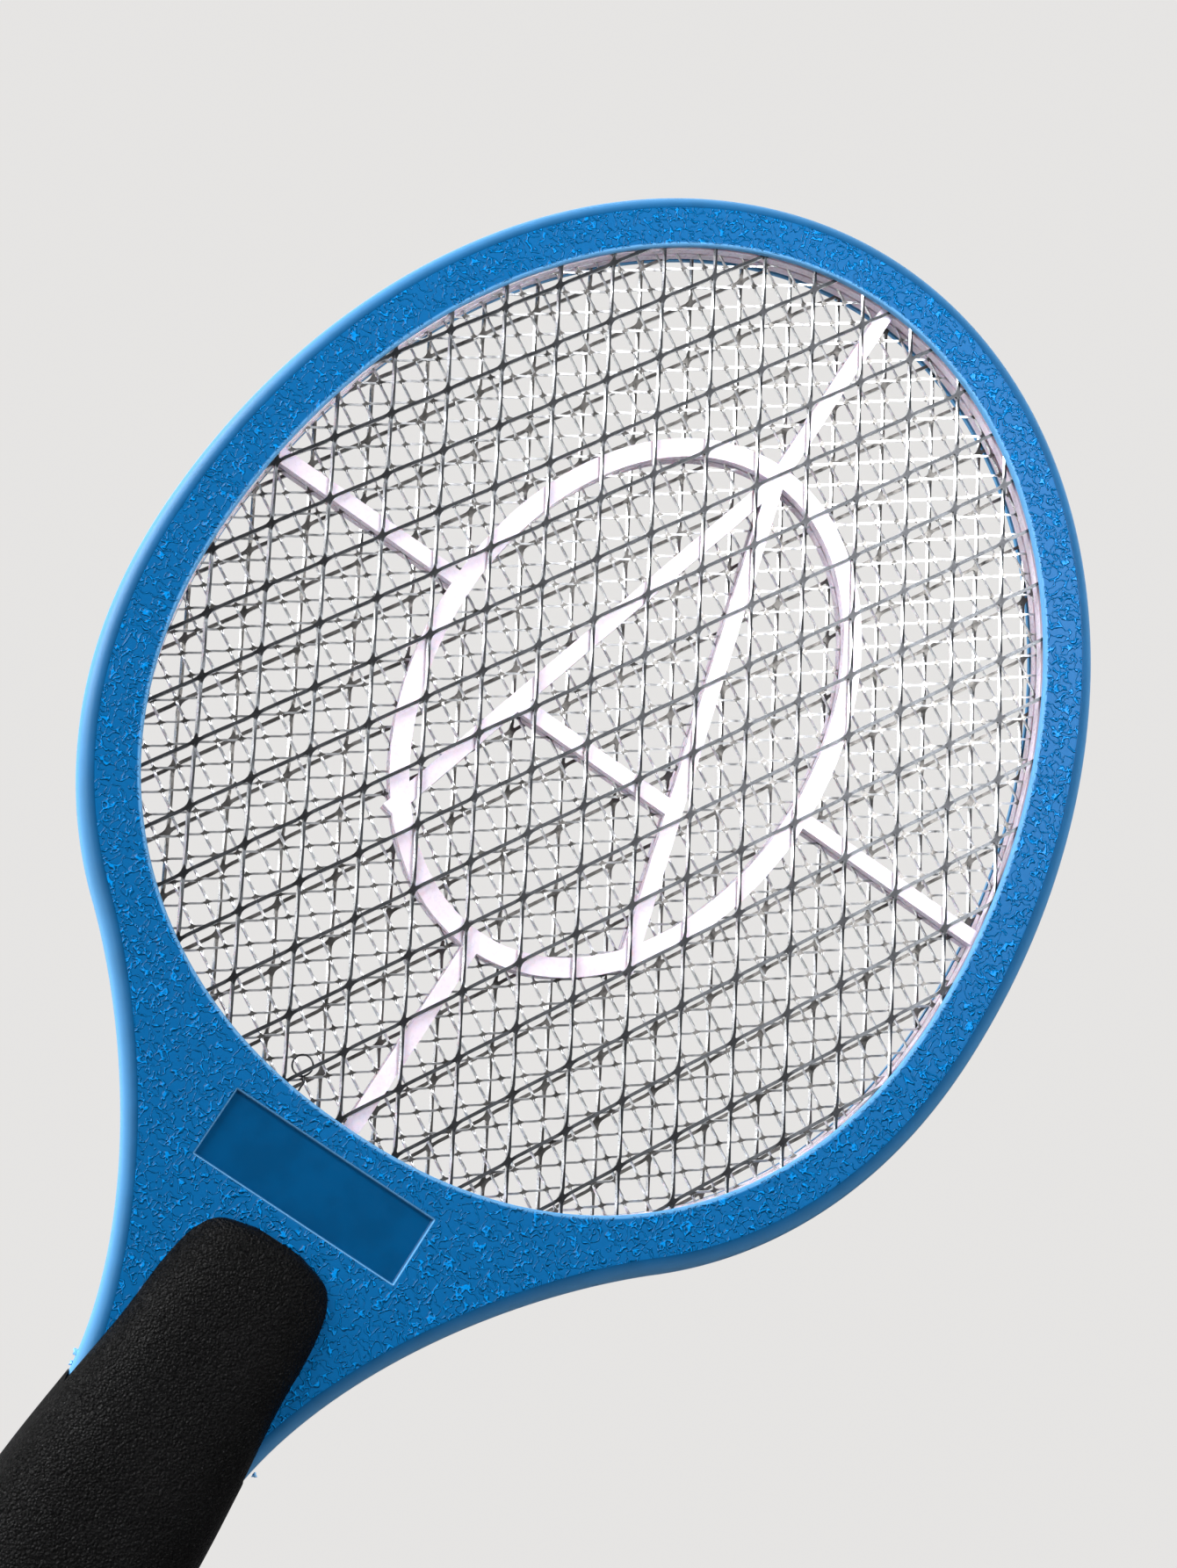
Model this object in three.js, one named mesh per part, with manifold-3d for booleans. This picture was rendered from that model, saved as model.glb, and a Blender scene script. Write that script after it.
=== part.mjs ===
// Electric fly swatter: a racket head with three metal grids on a battery handle.
// Millimetres. Z runs up the handle to the head, the front faces -Y, and the
// origin is the middle of the flat butt of the handle.

import * as THREE from 'three';
import { mergeVertices } from 'three/addons/utils/BufferGeometryUtils.js';
import Module from 'manifold-3d';

const wasm = await Module();
wasm.setup();

// ---------------------------------------------------------------- sizes

// Head opening: a half ellipse above its widest line, a fuller curve below.
const openingHalfWidth = 79.3;
const openingAbove = 108;
const openingBelow = 81.6;
const openingFullness = 2.2;
const neckLeaves = -0.285 * Math.PI;
const neckPull = 25;
const neckEase = 2.5;
const rimWidth = 10.7;
const rimRound = 1.2;
const frameWall = 1.8;
const lipThickness = 1.2;

// Layers of the head, front to back, with one clearance between all of them, and the
// distance past every piece that a cutting block reaches.
const gap = 0.2;
const fitGap = 0.3;
const beyond = 600;
const coarseThickness = 0.5;
const fineThickness = 0.3;
const spacerThickness = 2.0;
const gridGrip = 3.2;

// Handle: two shells that part just behind the middle and lap over the neck.
const shellWall = 2.0;
const shellSquareness = 3;
const partingY = 1.2;
const lapLength = 64;
const spareLength = 30;
const headReach = 104;
const neckHalfWidth = 17;
const neckCrossing = 38.5;
const tongueInset = 1.8;
const tongueLength = 60;
const tongueStep = 8;

// Expanded-metal grids. Each is drawn with diamonds some times the real size, and with
// strands wide enough to weigh the same as the real sheet.
const coarseLongWay = 20.4;
const coarseShortWay = 11.6;
const coarseStrand = 0.75;
const coarseEnlarged = 2;
const fineLongWay = 5.1;
const fineShortWay = 6.75;
const fineStrand = 0.3;
const fineEnlarged = 5;
const selvedgeWidth = 1.2;

// Spacer bars.
const spokeWidth = 2.9;
const ringBarWidth = 3.6;
const innerBarWidth = 3.0;
const barCentreAbove = 12.5;
const ovalHalfWidth = 38;
const ovalHalfHeight = 54;
const legSpread = 0.68;
const legDrop = 0.8;
const crossbarDrop = 0.24;
const barOverlap = 2;

// Plain panel sunk into the front of the neck.
const panelWidth = 41;
const panelHeight = 13;
const panelDepth = 0.8;
const panelBelowOpening = 4.9;
const panelBacking = 1.2;

// Power button, its switch and the indicator lamp.
const buttonRadius = 6;
const buttonProud = 1.4;
const buttonFlange = 1.3;
const buttonFromTip = 100;
const lampRadius = 1.5;
const lampFromTip = 80;
const switchSide = 6;
const switchHeight = 3.4;
const plungerRise = 1.5;
const plungerRadius = 1.6;
const stemRadius = 2;

// Circuit board.
const boardWidth = 24;
const boardLength = 60;
const boardThickness = 1.6;
const boardFace = -3.4;
const postHalfWidth = 1.2;
const postInset = 4;

// Where each part sits on the board: across from its middle, and up it as a share of
// its length.
const transistorPlace = [-6, 0.1];
const baseResistorPlace = [4, 0.083];
const bleedResistorPlace = [5, 0.2];
const discPlaces = [[-6, 0.65], [-6, 0.26]];
const diodePlaces = [[6, 0.698], [6, 0.649], [6, 0.6]];
const filmPlace = [0, 0.833];
const transformerPlace = [0, 0.455];

// Parts of the circuit.
const coreHalfWidth = 7;
const coreHalfHeight = 6;
const coreDepth = 5.5;
const coreLimb = 1.6;
const coreLegHalf = 2;
const coreLift = 2;
const windingProud = 1.7;
const filmHalfWidth = 8.5;
const filmHalfHeight = 5.5;
const filmDepth = 6.5;
const filmRound = 0.9;
const discRadius = 3.6;
const discDepth = 2.6;
const diodeRadius = 1.2;
const diodeLength = 4.6;
const transistorRadius = 2.4;
const transistorFlat = 1.2;
const transistorHeight = 4.6;

// Battery room: two AA cells side by side under a sliding cover.
const cellRadius = 7.15;
const cellBody = 49;
const cellNub = 1.5;
const nubRadius = 2.7;
const cellRound = 0.5;
const cellClearance = 0.7;
const cellDepth = 2.0;
const roomFloor = 13;
const ribThickness = 1.6;
const springLength = 5;
const springWire = 0.9;
const springFootRadius = 4.4;
const springTipRadius = 2.4;
const plateThickness = 0.5;
const plateSide = 11;
const coverPastCells = 9;
const coverHeightOnCells = 0.63;
const coverMargin = 3.5;
const railLegWidth = 1.1;
const railLegHeight = 3;
const railHeight = 1.4;
const railReach = 1.1;
const railSetback = 6;

// Screws, and wires between the board, the cells and the grids.
const screwRadius = 1.3;
const screwHeadRadius = 2.6;
const screwHeadHeight = 1.6;
const screwSink = 2.2;
const screwEdge = 0.5;
const bossRadius = 3.2;
const neckScrewRise = 10;
const midScrewX = 12.2;
const wireRadius = 0.6;
const tabWidth = 4;
const tabX = 26;
const tabDrop = 12;
const leadInset = 0.1;
const leadDepth = spacerThickness - leadInset;
const eyeRadius = 2.0;
const eyeWire = 0.35;
const eyeX = 13.2;
const eyeAboveOpening = 5.0;

// How many straight steps stand for a full turn of each curve.
const ovalSteps = 52;
const gridEdgeSteps = 36;
const handleSteps = 26;

// ---------------------------------------------------------------- places

const cellLength = cellBody + cellNub;
const cellSpacing = 2 * cellRadius + cellClearance;
const cellX = cellSpacing / 2;
const coverWidth = cellSpacing + 2 * cellRadius + cellClearance;
const coverY = cellDepth + coverHeightOnCells * cellRadius;
const gripHalfWidth = coverWidth / 2 + coverMargin;
const roomLength = 2 * plateThickness + springLength + cellLength + 5 * fitGap;
const bulkheadZ = roomFloor + roomLength;
const coverLength = bulkheadZ + coverPastCells;
const boardBottomZ = bulkheadZ + spareLength;
const boardTopZ = boardBottomZ + boardLength;
const handleLength = boardTopZ + lapLength;
const boardBack = boardFace + boardThickness;
const partY = boardBack + fitGap;
const coreY = partY + coreLift;
const switchTop = boardFace - fitGap - switchHeight;
const bridgeZ = roomFloor + fitGap;
const lowContactZ = bridgeZ + plateThickness + fitGap;
const topPlateZ = bulkheadZ - fitGap - plateThickness;

const widestZ = handleLength + headReach;
const spokeZ = widestZ + barCentreAbove;
const openingBottomZ = widestZ - openingBelow;
const openingTopZ = widestZ + openingAbove;
const crossingZ = handleLength - neckCrossing;
const tongueEndZ = handleLength - tongueLength;
const tongueHalfWidth = neckHalfWidth - tongueInset;

const layers = [
  lipThickness, coarseThickness, spacerThickness, fineThickness,
  spacerThickness, coarseThickness, lipThickness,
];
const headThickness = layers.reduce((sum, t) => sum + t, 0) + gap * (layers.length - 1);
const headFront = -headThickness / 2;
const layerFace = (index) =>
  headFront + layers.slice(0, index).reduce((sum, t) => sum + t + gap, 0);
const [, frontGridY, frontSpacerY, middleGridY, rearSpacerY, rearGridY, rearLipY] =
  layers.map((_, index) => layerFace(index));

const buttonZ = handleLength - buttonFromTip;
const lampZ = handleLength - lampFromTip;
const neckScrewZ = crossingZ + neckScrewRise;
const midScrewZ = (coverLength + boardBottomZ) / 2;
const screwPlaces = [[0, neckScrewZ], [-midScrewX, midScrewZ], [midScrewX, midScrewZ]];
const tabBottomZ = openingBottomZ - tabDrop;
const panelTopZ = openingBottomZ - panelBelowOpening;

// ---------------------------------------------------------------- materials

const finish = (color, roughness, metalness = 0) =>
  new THREE.MeshStandardMaterial({ color, roughness, metalness });

const finishes = {
  bluePlastic: finish(0x0a6fb8, 0.45),
  whitePlastic: finish(0xe9e2f0, 0.4),
  blackPlastic: finish(0x161616, 0.5),
  steelGrid: finish(0x8b9096, 0.35, 1),
  springSteel: finish(0xb9bcc0, 0.3, 1),
  screwSteel: finish(0x9a9da1, 0.35, 1),
  redLens: finish(0xc22018, 0.15),
  boardGreen: finish(0x2c6b3f, 0.5),
  ferrite: finish(0x2a2a2c, 0.7),
  windingTape: finish(0xd9b43a, 0.5),
  filmCapacitor: finish(0x9c3b1e, 0.4),
  discCapacitor: finish(0x2f6fb0, 0.4),
  componentBlack: finish(0x1b1b1d, 0.5),
  resistorTan: finish(0xc9ab7a, 0.55),
  cellWrap: finish(0x3c4a3f, 0.3),
  redWire: finish(0xb3221c, 0.5),
  blackWire: finish(0x1e1e1e, 0.5),
  whiteWire: finish(0xdedede, 0.5),
};

// ---------------------------------------------------------------- solids

// A closed three.js geometry as a solid that can be joined and cut.
function solid(geometry) {
  const bare = new THREE.BufferGeometry();
  bare.setAttribute('position', geometry.getAttribute('position').clone());
  if (geometry.index) bare.setIndex(geometry.index.clone());
  const merged = mergeVertices(bare, 1e-4);
  return new wasm.Manifold(new wasm.Mesh({
    numProp: 3,
    vertProperties: new Float32Array(merged.getAttribute('position').array),
    triVerts: new Uint32Array(merged.index.array),
  }));
}

// A solid back as a geometry that a mesh can show.
function geometryOf(body) {
  const { vertProperties, triVerts } = body.getMesh();
  const geometry = new THREE.BufferGeometry();
  geometry.setAttribute('position', new THREE.BufferAttribute(vertProperties, 3));
  geometry.setIndex(new THREE.BufferAttribute(triVerts, 1));
  geometry.computeVertexNormals();
  return geometry;
}

const cut = (body, ...tools) => tools.reduce((rest, tool) => rest.subtract(tool), body);
const join = (...bodies) => bodies.reduce((all, body) => all.add(body));

function block(x0, x1, y0, y1, z0, z1) {
  const box = new THREE.BoxGeometry(x1 - x0, y1 - y0, z1 - z0);
  box.translate((x0 + x1) / 2, (y0 + y1) / 2, (z0 + z1) / 2);
  return solid(box);
}

// A flat plate: a shape drawn in X and Z, from y0 back to y1, with an optional round edge.
function plate(shape, y0, y1, round = 0) {
  const geometry = new THREE.ExtrudeGeometry(shape, {
    depth: y1 - y0 - 2 * round,
    curveSegments: 1,
    bevelEnabled: round > 0,
    bevelThickness: round,
    bevelSize: round,
    bevelOffset: -round,
    bevelSegments: 2,
  });
  geometry.rotateX(Math.PI / 2);
  geometry.translate(0, y1 - round, 0);
  return solid(geometry);
}

// Points round a circle.
function circle(x, y, radius, sides) {
  return new THREE.EllipseCurve(x, y, radius, radius).getPoints(sides).slice(0, -1);
}

// A round bar along Y.
function barY(radius, y0, y1, x, z, sides = 14) {
  const geometry = new THREE.CylinderGeometry(radius, radius, y1 - y0, sides);
  geometry.translate(x, (y0 + y1) / 2, z);
  return solid(geometry);
}

// A turned piece from pairs of radius and height along its axis, at a place.
function turned(profile, place, direction, sides = 16) {
  const axis = new THREE.Vector3(...direction).normalize();
  const turn = new THREE.Quaternion().setFromUnitVectors(new THREE.Vector3(0, 1, 0), axis);
  const points = profile.map(([radius, height]) => new THREE.Vector2(radius, height));
  const geometry = new THREE.LatheGeometry(points, sides);
  geometry.applyQuaternion(turn);
  geometry.translate(...place);
  return solid(geometry);
}

// A wire of round section along a smooth line through the given places.
function wire(radius, places, steps, sides = 6) {
  const path = new THREE.CatmullRomCurve3(places.map((p) => new THREE.Vector3(...p)));
  return solid(new THREE.ExtrudeGeometry(new THREE.Shape(circle(0, 0, radius, sides)), {
    steps,
    extrudePath: path,
    bevelEnabled: false,
  }));
}

// A closed skin over rings of points, each ring in its own plane.
function loft(rings) {
  const count = rings[0].length;
  const positions = rings.flat().flatMap((p) => [p.x, p.y, p.z]);
  const index = [];
  for (let r = 0; r + 1 < rings.length; r += 1) {
    for (let i = 0; i < count; i += 1) {
      const j = (i + 1) % count;
      const low = r * count;
      const high = low + count;
      index.push(low + i, low + j, high + j, low + i, high + j, high + i);
    }
  }
  const last = (rings.length - 1) * count;
  for (let i = 1; i + 1 < count; i += 1) {
    index.push(0, i + 1, i, last, last + i, last + i + 1);
  }
  const geometry = new THREE.BufferGeometry();
  geometry.setAttribute('position', new THREE.Float32BufferAttribute(positions, 3));
  geometry.setIndex(index);
  return solid(geometry);
}

// ---------------------------------------------------------------- head outlines

// One point of the opening's curve, grown outwards, at an angle from +X.
function headPoint(angle, grow) {
  const c = Math.cos(angle);
  const s = Math.sin(angle);
  if (s >= 0) {
    return new THREE.Vector2((openingHalfWidth + grow) * c, widestZ + (openingAbove + grow) * s);
  }
  const power = 2 / openingFullness;
  const x = (openingHalfWidth + grow) * Math.sign(c) * Math.abs(c) ** power;
  const z = widestZ - (openingBelow + grow) * Math.abs(s) ** power;
  return new THREE.Vector2(x, z);
}

function headOval(grow, steps = ovalSteps) {
  return Array.from({ length: steps }, (_, i) => headPoint((2 * Math.PI * i) / steps, grow));
}

// The head and neck outline, pulled in by inset: oval, flared neck, straight tongue.
function headShape(inset) {
  const grow = rimWidth - inset;
  const flare = new THREE.Vector2(-0.76, -0.65);
  const start = headPoint(neckLeaves, grow);
  const end = new THREE.Vector2(neckHalfWidth - inset, crossingZ);
  const side = new THREE.CubicBezierCurve(
    start,
    start.clone().addScaledVector(flare, neckPull),
    new THREE.Vector2(end.x + neckEase, end.y + neckPull),
    end,
  ).getPoints(8);
  side.push(new THREE.Vector2(tongueHalfWidth - inset, crossingZ - tongueStep));
  side.push(new THREE.Vector2(tongueHalfWidth - inset, tongueEndZ));
  const sweep = Math.PI - 2 * neckLeaves;
  const oval = Array.from({ length: ovalSteps + 1 }, (_, i) =>
    headPoint(neckLeaves + (sweep * i) / ovalSteps, grow));
  const left = side.slice(1).map((p) => new THREE.Vector2(-p.x, p.y));
  const right = side.slice(1).reverse();
  return new THREE.Shape([...oval, ...left, ...right]);
}

const openingShape = () => new THREE.Shape(headOval(0));

// Everything the neck keeps clear for the screw that passes through it.
const neckScrewHole = () =>
  barY(bossRadius + fitGap, headFront - 1, -headFront + 1, 0, neckScrewZ);

// ---------------------------------------------------------------- head pieces

// A block over the sunk panel, grown all round, between two depths.
const panelBlock = (grow, y0, y1) => block(
  -panelWidth / 2 - grow, panelWidth / 2 + grow, y0, y1,
  panelTopZ - panelHeight - grow, panelTopZ + grow,
);

function frontFrame() {
  const half = block(-beyond, beyond, headFront - 1, -gap / 2, -beyond, beyond);
  const body = plate(headShape(0), headFront, -headFront, rimRound).intersect(half);
  const pocket = plate(headShape(frameWall), headFront + lipThickness, 0);
  const lipBack = headFront + lipThickness;
  const backing = panelBlock(panelBacking, headFront + lipThickness / 2, lipBack + panelBacking / 2);
  const panel = panelBlock(0, headFront - 1, headFront + panelDepth);
  const opening = plate(openingShape(), headFront - 1, 1);
  return cut(join(cut(body, pocket), backing), panel, opening, neckScrewHole());
}

function rearFrame() {
  const half = block(-beyond, beyond, gap / 2, -headFront + 1, -beyond, beyond);
  const body = plate(headShape(0), headFront, -headFront, rimRound).intersect(half);
  const pocket = plate(headShape(frameWall), 0, rearLipY);
  const opening = plate(openingShape(), -1, -headFront + 1);
  return cut(body, pocket, opening, neckScrewHole());
}

// A straight spacer bar between two places in the head plane.
function bar([x0, z0], [x1, z1], width, y0, y1) {
  const from = new THREE.Vector2(x0, z0);
  const to = new THREE.Vector2(x1, z1);
  const along = to.clone().sub(from);
  const side = new THREE.Vector2(-along.y, along.x).setLength(width / 2);
  const corners = [
    from.clone().add(side), from.clone().sub(side), to.clone().sub(side), to.clone().add(side),
  ];
  return plate(new THREE.Shape(corners), y0, y1);
}

// The inner oval of the spacer.
function barOval(grow) {
  const oval = new THREE.EllipseCurve(0, spokeZ, ovalHalfWidth + grow, ovalHalfHeight + grow);
  return oval.getPoints(40).slice(0, -1);
}

// Centre lines of the four spokes, from the ring to the inner oval.
function spokeLines() {
  const reachX = openingHalfWidth + barOverlap;
  return [
    [[0, spokeZ + ovalHalfHeight], [0, openingTopZ + barOverlap]],
    [[0, openingBottomZ - barOverlap], [0, spokeZ - ovalHalfHeight]],
    [[-reachX, spokeZ], [-ovalHalfWidth, spokeZ]],
    [[ovalHalfWidth, spokeZ], [reachX, spokeZ]],
  ];
}

// Centre lines of the pointed A: two legs from the top of the oval and a crossbar.
function pointedALines() {
  const apexZ = ovalHalfHeight - 1;
  const footX = legSpread * ovalHalfWidth;
  const footZ = -legDrop * ovalHalfHeight;
  const crossZ = -crossbarDrop * ovalHalfHeight;
  const crossX = (footX * (apexZ - crossZ)) / (apexZ - footZ);
  return [
    [[0, spokeZ + apexZ], [-footX, spokeZ + footZ]],
    [[0, spokeZ + apexZ], [footX, spokeZ + footZ]],
    [[-crossX, spokeZ + crossZ], [crossX, spokeZ + crossZ]],
  ];
}

// A spacer: an outer ring with four spokes, an inner oval and a pointed A inside it.
function spacer(y0) {
  const y1 = y0 + spacerThickness;
  const ring = new THREE.Shape(headOval(rimWidth - frameWall - fitGap));
  ring.holes.push(new THREE.Path(headOval(0)));
  const oval = new THREE.Shape(barOval(ringBarWidth / 2));
  oval.holes.push(new THREE.Path(barOval(-ringBarWidth / 2)));
  return join(
    plate(ring, y0, y1),
    plate(oval, y0, y1),
    ...spokeLines().map(([from, to]) => bar(from, to, spokeWidth, y0, y1)),
    ...pointedALines().map(([from, to]) => bar(from, to, innerBarWidth, y0, y1)),
  );
}

// The diamond holes of an expanded-metal sheet, each row half a diamond along.
function diamondHoles(longWay, shortWay, strand) {
  const lean = Math.hypot(longWay, shortWay);
  const halfLong = longWay / 2 - (strand * lean) / (2 * shortWay);
  const halfShort = shortWay / 2 - (strand * lean) / (2 * longWay);
  const rows = Math.ceil((openingAbove + openingBelow) / longWay) + 1;
  const columns = Math.ceil(openingHalfWidth / shortWay) + 1;
  const diamonds = [];
  for (let row = -rows; row <= rows; row += 1) {
    for (let column = -columns; column <= columns; column += 1) {
      const x = (column + (Math.abs(row) % 2) / 2) * shortWay;
      const z = spokeZ + (row * longWay) / 2;
      diamonds.push(new THREE.Shape([
        new THREE.Vector2(x + halfShort, z), new THREE.Vector2(x, z + halfLong),
        new THREE.Vector2(x - halfShort, z), new THREE.Vector2(x, z - halfLong),
      ]));
    }
  }
  return diamonds;
}

// An expanded-metal sheet cut to an oval, its cut ends held in a selvedge, with a tab
// on one side of the neck for its lead.
function grid(y0, thickness, sizes, tabSide) {
  const y1 = y0 + thickness;
  const sheet = plate(new THREE.Shape(headOval(gridGrip, gridEdgeSteps)), y0, y1);
  const holes = plate(diamondHoles(...sizes), y0 - 1, y1 + 1);
  const selvedge = new THREE.Shape(headOval(gridGrip, gridEdgeSteps));
  selvedge.holes.push(new THREE.Path(headOval(gridGrip - selvedgeWidth, gridEdgeSteps)));
  const tab = block(
    tabSide * tabX - tabWidth / 2, tabSide * tabX + tabWidth / 2, y0, y1,
    tabBottomZ, openingBottomZ + tabWidth,
  ).subtract(plate(openingShape(), y0 - 1, y1 + 1));
  return join(cut(sheet, holes), plate(selvedge, y0, y1), tab);
}

function coarseGrid(y0) {
  const sizes = [coarseLongWay, coarseShortWay, coarseStrand].map((s) => s * coarseEnlarged);
  return grid(y0, coarseThickness, sizes, 1);
}

function fineGrid(y0) {
  const sizes = [fineLongWay, fineShortWay, fineStrand].map((s) => s * fineEnlarged);
  return grid(y0, fineThickness, sizes, -1);
}

// ---------------------------------------------------------------- handle

// Sections of the handle up its length: half width, half depth and height.
function handleKeys(inset) {
  const tip = handleLength;
  const grip = gripHalfWidth;
  const keys = [
    [grip - 2.9, 11.4, 0], [grip - 0.9, 13.0, 2.5], [grip - 0.1, 13.7, 8],
    [grip, 14.0, 55], [grip + 0.9, 14.4, tip - 118], [grip + 1.2, 14.0, tip - 80],
    [18.9, 12.4, tip - 52], [17.7, 10.9, tip - 38], [16.2, 9.5, tip - 24],
    [15.5, 8.5, tip - 11], [14.2, 7.8, tip - 5], [12.0, 7.1, tip - 2], [5.8, 5.9, tip],
  ];
  return keys.map(([w, d, z]) => {
    const height = Math.min(Math.max(z, inset), tip - 2 * inset);
    return new THREE.Vector3(w - inset, d - inset, height);
  });
}

// One section of the handle: a squarish oval of the given half width and half depth.
function handleSection({ x: halfWidth, y: halfDepth, z }) {
  const power = 2 / shellSquareness;
  return Array.from({ length: handleSteps }, (_, i) => {
    const angle = (2 * Math.PI * i) / handleSteps;
    const c = Math.cos(angle);
    const s = Math.sin(angle);
    return new THREE.Vector3(
      halfWidth * Math.sign(c) * Math.abs(c) ** power,
      halfDepth * Math.sign(s) * Math.abs(s) ** power,
      z,
    );
  });
}

// The handle's outside, or its inside when pulled in by the wall.
function handleBody(inset) {
  const keys = handleKeys(inset);
  const distinct = keys.filter((key, i) => i === 0 || key.z > keys[i - 1].z + 0.3);
  return loft(distinct.map(handleSection));
}

// Half depth of the handle's outside at a height.
function handleDepth(z) {
  const keys = handleKeys(0);
  const above = keys.findIndex((key) => key.z > z);
  const [low, high] = [keys[above - 1], keys[above]];
  return low.y + ((high.y - low.y) * (z - low.z)) / (high.z - low.z);
}

const bosses = (y0, y1) =>
  join(...screwPlaces.map(([x, z]) => barY(bossRadius, y0, y1, x, z)));

// The room that the neck takes between the two shells.
function neckRoom() {
  const side = headFront - fitGap;
  return plate(headShape(-fitGap), side, -side).subtract(bosses(side - 1, 1 - side));
}

// Where the battery cover slides, with the grooves for its rails.
function coverRoom() {
  const half = coverWidth / 2 + fitGap;
  const grooveY = coverY - fitGap;
  const grooveTop = grooveY + railHeight + 2 * fitGap;
  const reach = half + railReach + fitGap / 2;
  return join(
    block(-half, half, grooveY, beyond, -beyond, coverLength + fitGap),
    block(-reach, reach, grooveY, grooveTop, -beyond, coverLength),
  );
}

// Solid that the front shell keeps inside it: two ribs that close the battery room, and
// four posts that carry the board.
function frontSupports() {
  const ribs = [roomFloor - ribThickness, bulkheadZ].map((z) =>
    block(-beyond, beyond, -beyond, partingY, z, z + ribThickness));
  const postX = boardWidth / 2 - 2;
  const postHeights = [boardBottomZ + postInset, boardTopZ - postInset];
  const posts = postHeights.flatMap((z) => [-postX, postX].map((x) => block(
    x - postHalfWidth, x + postHalfWidth, -beyond, boardFace - fitGap,
    z - postHalfWidth, z + postHalfWidth,
  )));
  return [...ribs, ...posts];
}

function handleFront() {
  const front = block(-beyond, beyond, -beyond, partingY - gap / 2, -beyond, beyond);
  const bossBack = partingY + 1;
  const room = cut(handleBody(shellWall), ...frontSupports(), bosses(-beyond, bossBack));
  const pilots = screwPlaces.map(([x, z]) =>
    barY(screwRadius + fitGap, headFront - shellWall / 2, bossBack, x, z, 12));
  return cut(
    handleBody(0).intersect(front), room, neckRoom(),
    barY(buttonRadius + fitGap, -beyond, boardFace, 0, buttonZ, 28),
    barY(lampRadius + fitGap, -beyond, boardFace, 0, lampZ, 16),
    ...pilots,
  );
}

// Depth at which a screw's head seats in the rear shell.
const screwSeatY = (z) => handleDepth(z) - screwSink - screwHeadHeight;

function handleRear() {
  const rear = block(-beyond, beyond, partingY + gap / 2, beyond, -beyond, beyond);
  const room = cut(handleBody(shellWall), bosses(0, beyond));
  const holes = screwPlaces.flatMap(([x, z]) => [
    barY(screwRadius + fitGap, 0, beyond, x, z, 12),
    barY(screwHeadRadius + fitGap, screwSeatY(z), beyond, x, z, 16),
  ]);
  return cut(handleBody(0).intersect(rear), room, neckRoom(), coverRoom(), ...holes);
}

// One rail of the cover: a leg down from the cover with a lip along its foot.
function coverRail(side) {
  const edge = (side * coverWidth) / 2;
  const inner = edge - side * railLegWidth;
  const outer = edge + side * railReach;
  const rail = (x0, x1, height) => block(
    Math.min(x0, x1), Math.max(x0, x1), coverY, coverY + height, railSetback, coverLength - 2,
  );
  return join(rail(inner, edge, railLegHeight), rail(inner, outer, railHeight));
}

function batteryCover() {
  const half = coverWidth / 2;
  const skin = handleBody(0).intersect(block(-half, half, coverY, beyond, 0, coverLength));
  return join(cut(skin, handleBody(shellWall)), coverRail(-1), coverRail(1));
}

// A machine screw from its seat in the rear shell forward into the front shell's boss.
function handleScrew([x, z]) {
  const shank = screwSeatY(z) - headFront;
  const top = shank + fitGap + screwHeadHeight;
  return turned([
    [0, 0], [screwRadius, 0], [screwRadius, shank], [screwHeadRadius, shank + fitGap],
    [screwHeadRadius, top - screwEdge], [screwHeadRadius - screwEdge, top], [0, top],
  ], [x, headFront, z], [0, 1, 0], 12);
}

// ---------------------------------------------------------------- button, switch and lamp

const innerSkinY = (z) => shellWall - handleDepth(z);

function pushButton() {
  const faceY = -handleDepth(buttonZ) - buttonProud;
  const flange = innerSkinY(buttonZ) + 2 * fitGap - faceY;
  const flangeBack = flange + 0.9;
  const stemEnd = switchTop - plungerRise - fitGap - faceY;
  return turned([
    [0, 0], [buttonRadius - 1.2, 0.15], [buttonRadius, 1.2], [buttonRadius, flange],
    [buttonRadius + buttonFlange, flange], [buttonRadius + buttonFlange, flangeBack],
    [stemRadius, flangeBack], [stemRadius, stemEnd], [0, stemEnd],
  ], [0, faceY, buttonZ], [0, 1, 0], 28);
}

function switchBody() {
  const half = switchSide / 2;
  const back = boardFace - fitGap;
  const body = block(-half, half, switchTop, back, buttonZ - half, buttonZ + half);
  return cut(body, barY(stemRadius, switchTop - 1, back - 0.6, 0, buttonZ));
}

function switchPlunger() {
  return barY(plungerRadius, switchTop - plungerRise, switchTop + 1, 0, buttonZ);
}

function indicatorLamp() {
  const tip = -handleDepth(lampZ) - 0.7;
  const base = innerSkinY(lampZ) + 2.2;
  const length = base - tip;
  const lens = turned([
    [0, 0], [lampRadius * 0.7, 0.45], [lampRadius, lampRadius], [lampRadius, length - 1],
    [lampRadius + 0.4, length - 1], [lampRadius + 0.4, length], [0, length],
  ], [0, tip, lampZ], [0, 1, 0], 14);
  const legs = [-0.9, 0.9].map((x) =>
    block(x - 0.25, x + 0.25, base - 0.5, boardFace - fitGap, lampZ - 0.25, lampZ + 0.25));
  return join(lens, ...legs);
}

// ---------------------------------------------------------------- circuit board and its parts

function circuitBoard() {
  const half = boardWidth / 2;
  return block(-half, half, boardFace, boardBack, boardBottomZ, boardTopZ);
}

const heightOnBoard = (share) => boardBottomZ + share * boardLength;

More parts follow.
